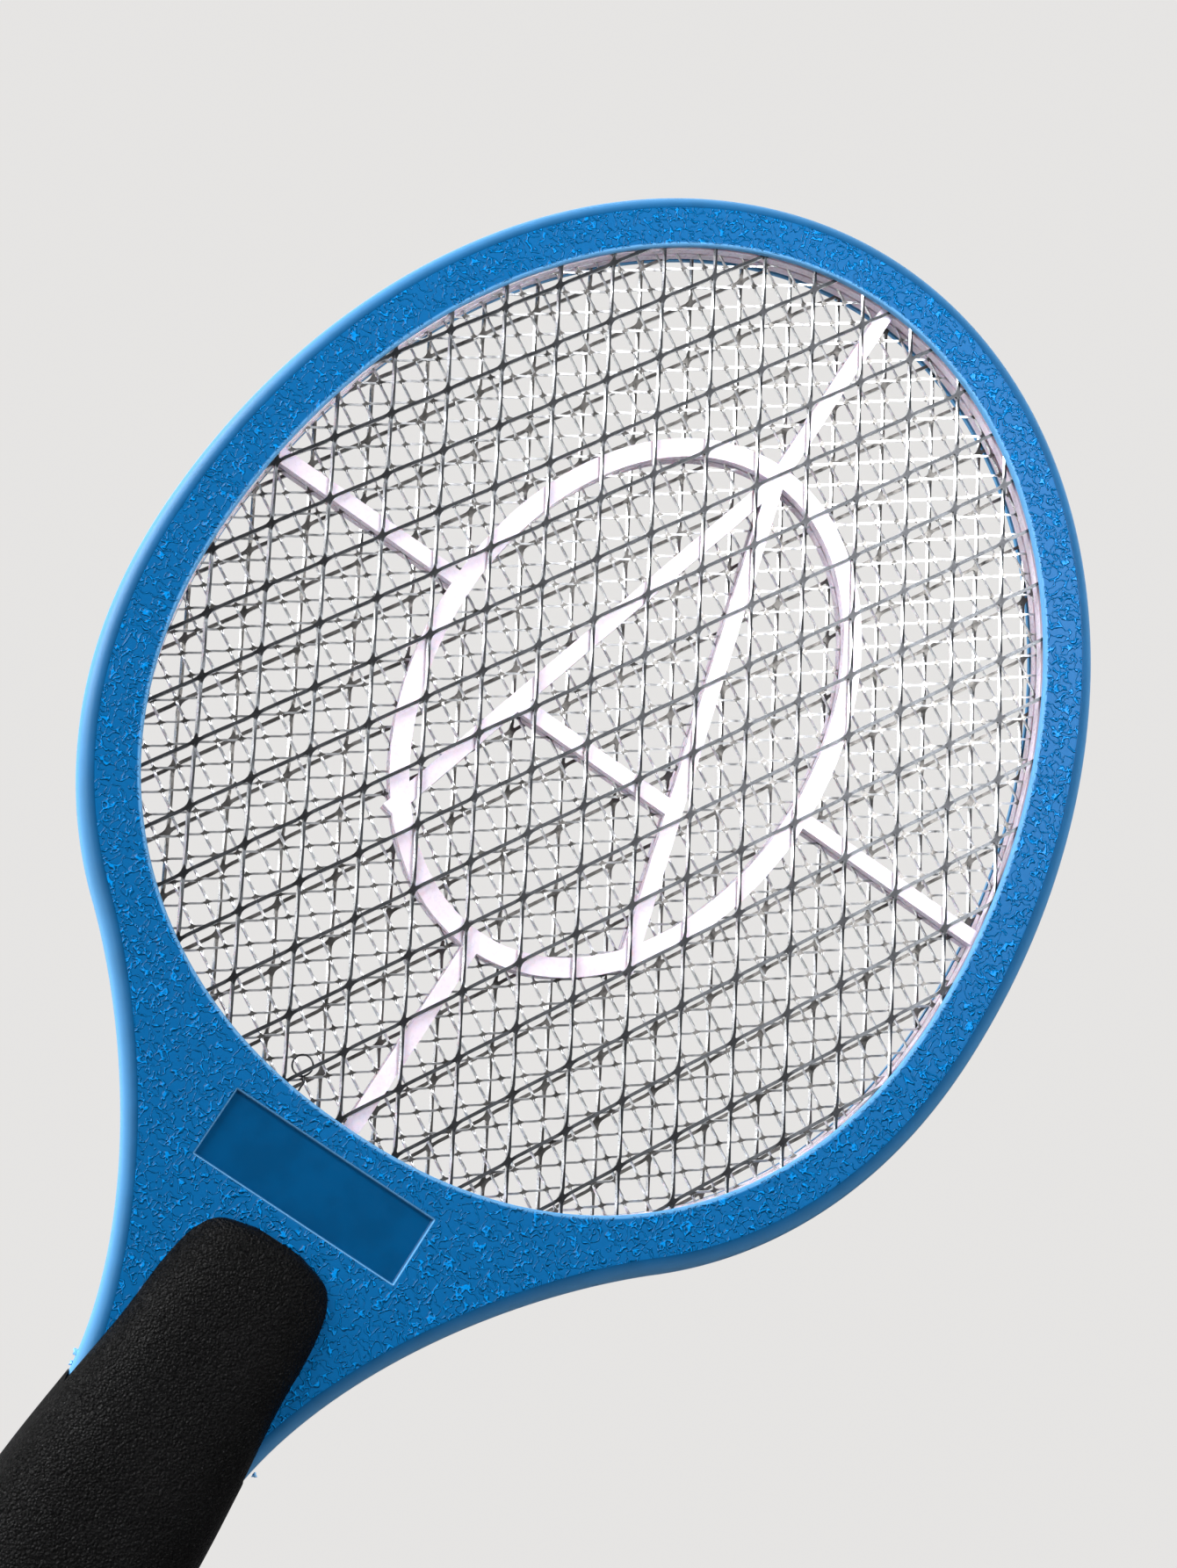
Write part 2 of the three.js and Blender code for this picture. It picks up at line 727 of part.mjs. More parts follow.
function transformerCore() {
  const z = heightOnBoard(transformerPlace[1]);
  const windowHalfHeight = coreHalfHeight - coreLimb;
  const windowWidth = coreHalfWidth - coreLimb - coreLegHalf;
  const window = (x0) => block(
    x0, x0 + windowWidth, coreY - 1, coreY + coreDepth + 1,
    z - windowHalfHeight, z + windowHalfHeight,
  );
  const outer = block(
    -coreHalfWidth, coreHalfWidth, coreY, coreY + coreDepth,
    z - coreHalfHeight, z + coreHalfHeight,
  );
  return cut(outer, window(coreLegHalf), window(-coreLegHalf - windowWidth));
}

function transformerWinding() {
  const z = heightOnBoard(transformerPlace[1]);
  const half = coreHalfHeight - coreLimb - fitGap;
  const reach = coreHalfWidth - coreLimb - fitGap;
  const leg = coreLegHalf + fitGap;
  const back = coreY + coreDepth;
  const coil = block(-reach, reach, partY, back + windingProud, z - half, z + half);
  return cut(coil, block(-leg, leg, coreY - fitGap, back + fitGap, z - 2 * half, z + 2 * half));
}

function filmCapacitor() {
  const [x, share] = filmPlace;
  const z = heightOnBoard(share);
  const shape = new THREE.Shape([
    new THREE.Vector2(x - filmHalfWidth, z - filmHalfHeight),
    new THREE.Vector2(x + filmHalfWidth, z - filmHalfHeight),
    new THREE.Vector2(x + filmHalfWidth, z + filmHalfHeight),
    new THREE.Vector2(x - filmHalfWidth, z + filmHalfHeight),
  ]);
  return plate(shape, partY, partY + filmDepth, filmRound);
}

const discCapacitor = ([x, share]) =>
  barY(discRadius, partY, partY + discDepth, x, heightOnBoard(share), 16);

// A small part with a round body lying across the board.
function rollPart(radius, length, [x, share]) {
  const geometry = new THREE.CylinderGeometry(radius, radius, length, 10);
  geometry.rotateZ(Math.PI / 2);
  geometry.translate(x, partY + radius, heightOnBoard(share));
  return solid(geometry);
}

// A small transistor: a round body with one side cut flat.
function transistor() {
  const [x, share] = transistorPlace;
  const z = heightOnBoard(share);
  const r = transistorRadius;
  const body = barY(r, partY + 0.3, partY + 0.3 + transistorHeight, x, z, 16);
  return body.intersect(block(x - r, x + r, partY, beyond, z - transistorFlat, z + r));
}

// ---------------------------------------------------------------- cells and contacts

// An AA cell; up says whether its nub points to the head.
function cell(x, up) {
  const z = up ? lowContactZ + springLength + fitGap : lowContactZ;
  const place = [x, cellDepth, up ? z : z + cellLength];
  return turned([
    [0, 0], [cellRadius - cellRound, 0], [cellRadius, cellRound],
    [cellRadius, cellBody - cellRound], [cellRadius - cellRound, cellBody],
    [nubRadius, cellBody], [nubRadius, cellLength], [0, cellLength],
  ], place, [0, 0, up ? 1 : -1], 24);
}

// A conical spring that presses on the flat end of a cell.
function cellSpring(x, z, up) {
  const turns = 3;
  const perTurn = 10;
  const rise = springLength - springWire;
  const places = Array.from({ length: turns * perTurn + 1 }, (_, i) => {
    const t = i / (turns * perTurn);
    const radius = springFootRadius + (springTipRadius - springFootRadius) * t;
    const height = springWire / 2 + rise * t;
    const angle = 2 * Math.PI * turns * t;
    return [
      x + radius * Math.cos(angle),
      cellDepth + radius * Math.sin(angle),
      up ? z + height : z + springLength - height,
    ];
  });
  return wire(springWire / 2, places, turns * perTurn, 4);
}

const contactPlate = (x0, x1, z) => block(
  x0 - plateSide / 2, x1 + plateSide / 2, cellDepth - plateSide / 2, cellDepth + plateSide / 2,
  z, z + plateThickness,
);

// ---------------------------------------------------------------- wires

// A lead from a grid's tab down through the neck to the back of the board.
function gridLead(tabSide, depth, boardX) {
  const x = tabSide * tabX;
  const start = tabBottomZ - fitGap;
  const boardY = partY + wireRadius + fitGap;
  return wire(wireRadius, [
    [x, depth, start], [0.75 * x, depth, start - 14], [1.3 * boardX, depth, neckScrewZ + 6],
    [boardX, depth, tongueEndZ + 6], [boardX, boardY, boardTopZ + 2],
    [boardX, boardY, boardTopZ - 2.5],
  ], 16);
}

// The eye of the middle grid's lead, lying just in front of the fine mesh.
function leadEye() {
  const z = openingBottomZ + eyeAboveOpening;
  const ring = new THREE.Shape(circle(-eyeX, z, eyeRadius, 16));
  ring.holes.push(new THREE.Path(circle(-eyeX, z, eyeRadius - 2 * eyeWire, 16)));
  const back = middleGridY - fitGap;
  return plate(ring, back - eyeWire, back);
}

function batteryLead(x) {
  const plateBack = cellDepth + plateSide / 2 + wireRadius + fitGap;
  return wire(wireRadius, [
    [x, plateBack, topPlateZ], [x, plateBack, bulkheadZ + 6],
    [x * 0.8, partY + 1, boardBottomZ - 4], [x * 0.8, partY + 1, boardBottomZ + 2.5],
  ], 10);
}

// ---------------------------------------------------------------- the swatter

const pieces = [
  ['front_frame', finishes.bluePlastic, frontFrame()],
  ['rear_frame', finishes.bluePlastic, rearFrame()],
  ['front_spacer', finishes.whitePlastic, spacer(frontSpacerY)],
  ['rear_spacer', finishes.whitePlastic, spacer(rearSpacerY)],
  ['front_grid', finishes.steelGrid, coarseGrid(frontGridY)],
  ['middle_grid', finishes.steelGrid, fineGrid(middleGridY)],
  ['rear_grid', finishes.steelGrid, coarseGrid(rearGridY)],
  ['middle_lead_eye', finishes.springSteel, leadEye()],
  ['front_grid_lead', finishes.blackWire, gridLead(1, -leadDepth, 5.5)],
  ['middle_grid_lead', finishes.redWire, gridLead(-1, 0, -6.5)],
  ['rear_grid_lead', finishes.whiteWire, gridLead(1, leadDepth, 9)],
  ['handle_front', finishes.blackPlastic, handleFront()],
  ['handle_rear', finishes.blackPlastic, handleRear()],
  ['battery_cover', finishes.blackPlastic, batteryCover()],
  ...screwPlaces.map((place, i) => [
    `handle_screw_${i + 1}`, finishes.screwSteel, handleScrew(place)]),
  ['push_button', finishes.bluePlastic, pushButton()],
  ['switch_body', finishes.componentBlack, switchBody()],
  ['switch_plunger', finishes.resistorTan, switchPlunger()],
  ['indicator_lamp', finishes.redLens, indicatorLamp()],
  ['circuit_board', finishes.boardGreen, circuitBoard()],
  ['transformer_core', finishes.ferrite, transformerCore()],
  ['transformer_winding', finishes.windingTape, transformerWinding()],
  ['high_voltage_capacitor', finishes.filmCapacitor, filmCapacitor()],
  ['multiplier_capacitor_1', finishes.discCapacitor, discCapacitor(discPlaces[0])],
  ['multiplier_capacitor_2', finishes.discCapacitor, discCapacitor(discPlaces[1])],
  ...diodePlaces.map((place, i) => [
    `rectifier_diode_${i + 1}`, finishes.componentBlack,
    rollPart(diodeRadius, diodeLength, place)]),
  ['switching_transistor', finishes.componentBlack, transistor()],
  ['base_resistor', finishes.resistorTan, rollPart(1, 5, baseResistorPlace)],
  ['bleed_resistor', finishes.resistorTan, rollPart(1.2, 6, bleedResistorPlace)],
  ['battery_cell_1', finishes.cellWrap, cell(-cellX, true)],
  ['battery_cell_2', finishes.cellWrap, cell(cellX, false)],
  ['cell_spring_1', finishes.springSteel, cellSpring(-cellX, lowContactZ, true)],
  ['cell_spring_2', finishes.springSteel,
    cellSpring(cellX, topPlateZ - springLength - fitGap, false)],
  ['contact_bridge', finishes.springSteel, contactPlate(-cellX, cellX, bridgeZ)],
  ['positive_contact', finishes.springSteel, contactPlate(-cellX, -cellX, topPlateZ)],
  ['negative_contact', finishes.springSteel, contactPlate(cellX, cellX, topPlateZ)],
  ['positive_battery_lead', finishes.redWire, batteryLead(-cellX)],
  ['negative_battery_lead', finishes.blackWire, batteryLead(cellX)],
];

const swatter = new THREE.Group();
for (const [name, material, body] of pieces) {
  const mesh = new THREE.Mesh(geometryOf(body), material);
  mesh.name = name;
  swatter.add(mesh);
}

export default swatter;
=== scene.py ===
"""Electric fly swatter: the finished surfaces, built round the packed frame.

Metres. Z runs up the handle to the head, and the front faces -Y.
"""

import math

import bmesh
import bpy
from bpy.props import FloatProperty, FloatVectorProperty, IntProperty, PointerProperty
from mathutils import Matrix, Vector


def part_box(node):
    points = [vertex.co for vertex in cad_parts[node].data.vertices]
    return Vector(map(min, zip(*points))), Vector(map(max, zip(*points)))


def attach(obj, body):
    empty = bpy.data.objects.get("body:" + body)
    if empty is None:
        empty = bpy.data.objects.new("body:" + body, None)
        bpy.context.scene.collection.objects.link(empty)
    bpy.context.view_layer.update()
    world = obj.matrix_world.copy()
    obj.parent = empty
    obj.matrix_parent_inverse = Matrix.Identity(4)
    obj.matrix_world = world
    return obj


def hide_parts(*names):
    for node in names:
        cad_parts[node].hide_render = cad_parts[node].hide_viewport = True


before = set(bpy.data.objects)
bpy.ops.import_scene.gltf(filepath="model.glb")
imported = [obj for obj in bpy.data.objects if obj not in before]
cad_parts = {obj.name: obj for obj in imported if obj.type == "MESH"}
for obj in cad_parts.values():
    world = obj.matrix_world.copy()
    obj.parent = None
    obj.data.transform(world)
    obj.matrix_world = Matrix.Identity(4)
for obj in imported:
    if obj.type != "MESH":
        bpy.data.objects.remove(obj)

bl_info = {
    "name": "Electric fly swatter",
    "version": (1, 0, 0),
    "blender": (4, 5, 0),
    "location": "View3D > Sidebar > Fly swatter",
    "description": "Builds an electric fly swatter's finished surfaces round its frame",
    "category": "Add Mesh",
}

MM = 0.001
TINY = 1e-7

# ---------------------------------------------------------------- places from the frame

FRONT_LOW, FRONT_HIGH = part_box("front_frame")
REAR_LOW, REAR_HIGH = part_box("rear_frame")
HEAD_FRONT = FRONT_LOW.y
HEAD_BACK = REAR_HIGH.y
HEAD_TOP = FRONT_HIGH.z
TONGUE_END = FRONT_LOW.z
SEAM = (FRONT_HIGH.y, REAR_LOW.y)
HANDLE_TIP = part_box("handle_front")[1].z
PARTING = (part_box("handle_front")[1].y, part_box("handle_rear")[0].y)


def layer(node):
    """Front and back of a flat piece of the head."""
    low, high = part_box(node)
    return low.y, high.y


def middle(node):
    """Middle of a node's box."""
    low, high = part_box(node)
    return (low + high) / 2


# ---------------------------------------------------------------- sizes and colours


def length(name, description, default):
    """A size in metres."""
    return FloatProperty(
        name=name, description=description, default=default, unit="LENGTH", precision=5
    )


def colour(name, description, default):
    """A colour in linear light."""
    return FloatVectorProperty(
        name=name, description=description, default=default, size=3, subtype="COLOR", min=0, max=1
    )


class HeadSizes(bpy.types.PropertyGroup):
    """Sizes of the racket head."""

    rim_width: length("Rim width", "Width of the frame round the opening", 10.7 * MM)
    opening_above: length("Opening above", "Opening's height above its widest line", 108 * MM)
    opening_below: length("Opening below", "Opening's height below its widest line", 81.6 * MM)
    opening_fullness: FloatProperty(
        name="Opening fullness", description="2 is an ellipse, more is squarer", default=2.2
    )
    rim_round: length("Rim rounding", "Radius of the frame's outer edge", 3.0 * MM)
    lip_round: length("Lip rounding", "Radius of the edge round the opening", 0.4 * MM)
    frame_wall: length("Frame wall", "Thickness of the frame's side wall", 1.8 * MM)
    lip: length("Lip", "Thickness of the lip that holds the grids", 1.2 * MM)
    neck_half_width: length("Neck half width", "Where the neck enters the handle", 17 * MM)
    neck_crossing: length("Neck crossing", "Neck's entry below the handle's tip", 38.5 * MM)
    tongue_inset: length("Tongue inset", "How much slimmer the tongue is than the neck", 1.8 * MM)
    panel_width: length("Panel width", "Width of the sunk panel", 41 * MM)
    panel_height: length("Panel height", "Height of the sunk panel", 13 * MM)
    panel_depth: length("Panel depth", "Depth of the sunk panel", 0.75 * MM)
    panel_below: length("Panel below opening", "Strip between the opening and the panel", 4.9 * MM)
    steps: IntProperty(name="Outline steps", description="Points round the head", default=220)


class SpacerSizes(bpy.types.PropertyGroup):
    """Sizes of the spacer bars between the grids."""

    spoke_width: length("Spoke width", "Width of the four spokes", 2.9 * MM)
    oval_width: length("Oval bar width", "Width of the inner oval's bar", 3.6 * MM)
    inner_width: length("Inner bar width", "Width of the bars inside the oval", 3.0 * MM)
    centre_above: length("Centre above", "Spokes' centre above the widest line", 12.5 * MM)
    oval_half_width: length("Oval half width", "To the middle of the bar", 38 * MM)
    oval_half_height: length("Oval half height", "To the middle of the bar", 54 * MM)
    edge_round: length("Edge rounding", "Radius of the bars' edges", 0.35 * MM)


class CoarseSizes(bpy.types.PropertyGroup):
    """Sizes of the two outer expanded-metal grids."""

    long_way: length("Long way", "Diamond height", 20.4 * MM)
    short_way: length("Short way", "Diamond width", 11.6 * MM)
    strand: length("Strand", "Width of one strand", 0.62 * MM)
    sheet: length("Sheet", "Thickness of one strand", 0.5 * MM)
    bond: length("Bond", "Length of a knuckle", 1.4 * MM)
    bend: length("Bend", "Length of strand that bends at a knuckle", 1.0 * MM)
    waviness: length("Waviness", "How far the sheet strays from true", 0.25 * MM)


class FineSizes(bpy.types.PropertyGroup):
    """Sizes of the middle expanded-metal grid."""

    long_way: length("Long way", "Cell height", 5.1 * MM)
    short_way: length("Short way", "Cell width", 6.75 * MM)
    strand: length("Strand", "Width of one strand", 0.4 * MM)
    sheet: length("Sheet", "Thickness of one strand", 0.34 * MM)
    bond: length("Bond", "Length of a knuckle", 0.7 * MM)
    bend: length("Bend", "Length of strand that bends at a knuckle", 1.1 * MM)
    waviness: length("Waviness", "How far the sheet strays from true", 0.15 * MM)


class HandleSizes(bpy.types.PropertyGroup):
    """Sizes of the handle."""

    wall: length("Wall", "Thickness of the shells", 2.0 * MM)
    squareness: FloatProperty(name="Squareness", description="2 is an oval section", default=3.0)
    seam_round: length("Seam rounding", "Rounding of the shells' edges at the seam", 0.4 * MM)
    fit: length("Fit", "Clearance between pieces", 0.15 * MM)
    steps: IntProperty(name="Section steps", description="Points round half a section", default=56)
    rings: IntProperty(name="Rings per key", description="Sections between two keys", default=9)


class Finishes(bpy.types.PropertyGroup):
    """Colours of the finished pieces."""

    blue: colour("Blue", "Frame plastic", (0.0, 0.15, 0.43))
    # The light blue paints the highlight that the frame's rounded edges catch, together with their
    # rubbing; it also colours the flash specks.
    blue_light: colour("Light blue", "Rubbed edges of the frame", (0.2, 0.52, 0.9))
    white: colour("White", "Spacer plastic", (0.68, 0.61, 0.71))
    black: colour("Black", "Handle plastic", (0.002, 0.002, 0.0021))
    # The rolled faces' near-black is partly dull steel and partly a painted dark reflection; the
    # slit edges' near-white is partly bright fresh-cut steel and partly a painted highlight.
    steel: colour("Steel", "Rolled faces of the coarse grids", (0.06, 0.064, 0.07))
    fine_steel: colour("Fine steel", "Rolled faces of the middle grid", (0.5, 0.51, 0.53))
    dark_steel: colour("Dark steel", "Knuckles of the grids", (0.03, 0.031, 0.034))
    worn_steel: colour("Worn steel", "Rolled faces of the rear grid", (0.13, 0.125, 0.12))
    # Painted highlight on the slit edges, besides the brightness of fresh-cut steel.
    cut_steel_highlight: colour("Cut steel", "Slit edges of the grids", (0.86, 0.88, 0.92))


GROUPS = {
    "swatter_head": HeadSizes,
    "swatter_spacer": SpacerSizes,
    "swatter_coarse": CoarseSizes,
    "swatter_fine": FineSizes,
    "swatter_handle": HandleSizes,
    "swatter_finish": Finishes,
}


def settings(name):
    """One group of sizes or colours of the current scene."""
    return getattr(bpy.context.scene, "swatter_" + name)


# ---------------------------------------------------------------- outlines of the head


def opening_half_width():
    """Half width of the opening."""
    return FRONT_HIGH.x - settings("head").rim_width


def widest_z():
    """Height of the opening's widest line."""
    head = settings("head")
    return HEAD_TOP - head.rim_width - head.opening_above


def centre_z():
    """Height of the spokes' centre."""
    return widest_z() + settings("spacer").centre_above


def head_point(angle, grow):
    """A point of the opening's curve, grown outwards, at an angle from +X."""
    head = settings("head")
    c, s = math.cos(angle), math.sin(angle)
    half = opening_half_width() + grow
    if s >= 0:
        return half * c, widest_z() + (head.opening_above + grow) * s
    power = 2 / head.opening_fullness
    x = half * math.copysign(abs(c) ** power, c)
    return x, widest_z() - (head.opening_below + grow) * abs(s) ** power


def head_oval(grow):
    """The opening's curve, grown outwards."""
    steps = settings("head").steps
    return [head_point(math.tau * i / steps, grow) for i in range(steps)]


def bezier(a, b, c, d, steps):
    """Points of a cubic curve after its first one."""
    points = []
    for i in range(1, steps + 1):
        t = i / steps
        u = 1 - t
        weights = (u * u * u, 3 * u * u * t, 3 * u * t * t, t * t * t)
        points.append(tuple(sum(w * p[k] for w, p in zip(weights, (a, b, c, d))) for k in (0, 1)))
    return points


NECK_START = -0.285 * math.pi
FLARE = (-0.76, -0.65)
FLARE_REACH = 25 * MM
NECK_SWELL = 2.5 * MM
NECK_STEPS = 36
TONGUE_STEP = 8 * MM


def neck_side(grow):
    """The neck's right side, from the oval down to the end of the tongue."""
    head = settings("head")
    inset = head.rim_width - grow
    crossing = HANDLE_TIP - head.neck_crossing
    start = head_point(NECK_START, grow)
    end = (head.neck_half_width - inset, crossing)
    reach = (start[0] + FLARE[0] * FLARE_REACH, start[1] + FLARE[1] * FLARE_REACH)
    swell = (end[0] + NECK_SWELL, end[1] + FLARE_REACH)
    tongue = head.neck_half_width - head.tongue_inset - inset
    side = bezier(start, reach, swell, end, NECK_STEPS)
    return side + [(tongue, crossing - TONGUE_STEP), (tongue, TONGUE_END + max(inset, 0))]


def head_outline(grow):
    """The head and neck outline: oval, flared neck and straight tongue."""
    steps = settings("head").steps
    sweep = math.pi - 2 * NECK_START
    oval = [head_point(NECK_START + sweep * i / steps, grow) for i in range(steps + 1)]
    side = neck_side(grow)
    left = [(-x, z) for x, z in side]
    return oval + left + side[::-1]


# ---------------------------------------------------------------- mesh helpers


def ring(bm, points, y):
    """Vertices of a closed outline at one depth."""
    return [bm.verts.new((x, y, z)) for x, z in points]


def skirt(bm, a, b, slot=0):
    """A band of faces between two outlines of as many points."""
    for i in range(len(a)):
        j = (i + 1) % len(a)
        bm.faces.new((a[i], a[j], b[j], b[i])).material_index = slot


def loop_edges(bm, loop):
    """The edges round a closed outline, made where they are missing."""
    edges = []
    for i, vert in enumerate(loop):
        other = loop[(i + 1) % len(loop)]
        edges.append(bm.edges.get((vert, other)) or bm.edges.new((vert, other)))
    return edges


def fill(bm, loops, slot=0):
    """A flat face between an outline and the outlines of its holes."""
    edges = [edge for loop in loops for edge in loop_edges(bm, loop)]
    made = bmesh.ops.triangle_fill(bm, use_beauty=True, edges=edges, normal=(0, -1, 0))
    for face in made["geom"]:
        if isinstance(face, bmesh.types.BMFace):
            face.material_index = slot


def mesh_of(bm, name):
    """The finished mesh of a bmesh, with its faces turned outwards."""
    bmesh.ops.recalc_face_normals(bm, faces=bm.faces)
    mesh = bpy.data.meshes.new(name)
    bm.to_mesh(mesh)
    bm.free()
    return mesh


def object_of(mesh, name):
    """An object that shows a mesh, at the origin."""
    piece = bpy.data.objects.new(name, mesh)
    bpy.context.scene.collection.objects.link(piece)
    return piece


def settle(piece):
    """Applies a piece's modifiers and gives it the plain mesh that results."""
    bpy.context.view_layer.update()
    graph = bpy.context.evaluated_depsgraph_get()
    mesh = bpy.data.meshes.new_from_object(piece.evaluated_get(graph), depsgraph=graph)
    piece.modifiers.clear()
    piece.data = mesh
    return piece


def combine(piece, tool, operation):
    """Joins a piece with a tool, cuts it or keeps what they share; the tool is used up."""
    modifier = piece.modifiers.new("Boolean", "BOOLEAN")
    modifier.operation = operation
    modifier.solver = "MANIFOLD"
    modifier.object = tool
    settle(piece)
    bpy.data.objects.remove(tool)
    return piece


def smooth(piece, degrees=32):
    """Smooth shading, with edges kept sharp where faces turn by more than an angle."""
    piece.data.shade_smooth()
    piece.data.set_sharp_from_angle(angle=math.radians(degrees))
    return piece


def dress(piece, *materials):
    """Gives a piece its materials, in the order that its faces count them."""
    mesh = piece.data
    slots = [min(polygon.material_index, len(materials) - 1) for polygon in mesh.polygons]
    mesh.materials.clear()
    for material in materials:
        mesh.materials.append(material)
    mesh.polygons.foreach_set("material_index", slots)
    return piece


def block(x, y, z):
    """A box between pairs of limits, as a tool."""
    bm = bmesh.new()
    bmesh.ops.create_cube(bm, size=1)
    for vert in bm.verts:
        vert.co = [a + (b - a) * (c + 0.5) for (a, b), c in zip((x, y, z), vert.co)]
    return object_of(mesh_of(bm, "tool"), "tool")


def turned_mesh(profile, place, steps=64, name="turned"):
    """A piece turned about an axis along Y, from pairs of radius and depth."""
    bm = bmesh.new()
    turns = [math.tau * i / steps for i in range(steps)]
    rings = []
    for radius, depth in profile:
        spots = [(radius * math.cos(turn), radius * math.sin(turn)) for turn in turns]
        if radius < TINY:
            spots = spots[:1]
        rings.append([bm.verts.new((place[0] + x, depth, place[1] + z)) for x, z in spots])
    for a, b in zip(rings, rings[1:]):
        for i in range(steps):
            j = (i + 1) % steps
            corners = [a[i % len(a)], a[j % len(a)], b[j % len(b)], b[i % len(b)]]
            bm.faces.new(list(dict.fromkeys(corners)))
    return mesh_of(bm, name)


def turned(profile, place, steps, name):
    """A smoothly turned object, from pairs of radius and depth."""
    return object_of(turned_mesh(profile, place, steps, name), name)


def scaled(pairs, start=0.0):
    """Pairs of radius and depth in millimetres, turned into metres from a starting depth."""
    return [(radius * MM, start + depth * MM) for radius, depth in pairs]


def rod(radius, depths, place, steps=48):
    """A round bar along Y, as a tool."""
    y0, y1 = depths
    profile = [(0, y0), (radius, y0), (radius, y1), (0, y1)]
    return turned(profile, place, steps, "tool")


def tube(path, radius, name, steps=10):
    """A round wire along a path, closed at both ends, or in a ring if its ends meet."""
    closed = (path[0] - path[-1]).length < TINY
    points = path[:-1] if closed else path
    count = len(points)
    bm = bmesh.new()
    rings = []
    side = None
    for i, point in enumerate(points):
        before = points[i - 1] if closed or i else point
        after = points[(i + 1) % count] if closed or i + 1 < count else point
        along = (after - before).normalized()
        side = side or along.orthogonal()
        side = (side - along * side.dot(along)).normalized()
        up = along.cross(side)
        turns = [math.tau * k / steps for k in range(steps)]
        rings.append(
            [bm.verts.new(point + (side * math.cos(a) + up * math.sin(a)) * radius) for a in turns]
        )
    pairs = zip(rings, rings[1:] + rings[:1]) if closed else zip(rings, rings[1:])
    for a, b in pairs:
        skirt(bm, a, b)
    if not closed:
        bm.faces.new(rings[0])
        bm.faces.new(rings[-1])
    return object_of(mesh_of(bm, name), name)


def hand_over(piece, body, slot, *nodes):
    """Says which body a piece rides on and hides the frame's nodes it stands for; its finish,
    given as slot, is not used.
    """
    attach(piece, body)
    if nodes:
        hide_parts(*nodes)


# ---------------------------------------------------------------- node trees


class Nodes:
    """A node tree being built, with short calls to add and join its nodes."""

    def __init__(self, tree):
        self.tree = tree

    def node(self, kind, inputs=(), **values):
        """A node with its settings, and inputs that are sockets to join or plain values."""
        node = self.tree.nodes.new(kind)
        for key, value in values.items():
            setattr(node, key, value)
        for key, value in dict(inputs).items():
            self.set(node.inputs[key], value)
        return node

    def set(self, socket, value):
        """Joins a socket to another, or gives it a plain value."""
        if isinstance(value, bpy.types.NodeSocket):
            self.tree.links.new(value, socket)
        else:
            socket.default_value = value

    def math(self, operation, a, b=0.0):
        """One sum."""
        return self.node("ShaderNodeMath", {0: a, 1: b}, operation=operation).outputs[0]


class Tree(Nodes):
    """A Geometry Nodes tree with named inputs, run once to make a plain mesh."""

    def __init__(self, name):
        super().__init__(bpy.data.node_groups.new(name, "GeometryNodeTree"))
        self.socket("Geometry", "OUTPUT", "NodeSocketGeometry")
        self.source = self.tree.nodes.new("NodeGroupInput")
        self.values = {}

    def socket(self, name, way, kind):
        """A new socket of the tree."""
        return self.tree.interface.new_socket(name, in_out=way, socket_type=kind)

    def input(self, name, kind, value):
        """A named input of the tree, with its value."""
        self.values[self.socket(name, "INPUT", kind).identifier] = value
        return self.source.outputs[name]

    def shape(self, thing):
        """The geometry of another object."""
        return self.node("GeometryNodeObjectInfo", {"Object": thing}).outputs["Geometry"]

    def vector(self, operation, inputs):
        """One sum of vectors."""
        return self.node("ShaderNodeVectorMath", inputs, operation=operation).outputs[0]

    def moved(self, geometry, offset):
        """A geometry whose points are each moved."""
        inputs = {"Geometry": geometry, "Offset": offset}
        return self.node("GeometryNodeSetPosition", inputs).outputs[0]

    def stored(self, name, kind):
        """A value stored on the geometry under a name."""
        node = self.node("GeometryNodeInputNamedAttribute", {"Name": name}, data_type=kind)
        return node.outputs["Attribute"]

    def copies(self, points, thing, **more):
        """An object's geometry set at each point."""
        inputs = {"Points": points, "Instance": self.shape(thing), **more}
        return self.node("GeometryNodeInstanceOnPoints", inputs).outputs[0]

    def real(self, geometry):
        """Copies turned into a mesh."""
        return self.node("GeometryNodeRealizeInstances", {"Geometry": geometry}).outputs[0]

    def paint(self, geometry, material, selection=True):
        """Gives some or all of a mesh's faces a material."""
        inputs = {"Geometry": geometry, "Selection": selection, "Material": material}
        return self.node("GeometryNodeSetMaterial", inputs).outputs[0]

    def end(self, geometry):
        """Joins a geometry to the tree's output."""
        self.node("NodeGroupOutput", {"Geometry": geometry})

    def make(self, name):
        """Runs the tree on a new object and returns it with the plain mesh that results."""
        piece = object_of(bpy.data.meshes.new(name), name)
        modifier = piece.modifiers.new("Nodes", "NODES")
        modifier.node_group = self.tree
        for identifier, value in self.values.items():
            modifier[identifier] = value
        settle(piece)
        bpy.data.node_groups.remove(self.tree)
        piece.data.name = name
        return piece


# ---------------------------------------------------------------- materials

SHADER_INPUTS = {
    "color": "Base Color",
    "roughness": "Roughness",
    "metallic": "Metallic",
    "normal": "Normal",
    "subsurface": "Subsurface Weight",
    "scatter": "Subsurface Scale",
    "transmission": "Transmission Weight",
    "specular": "Specular IOR Level",
}


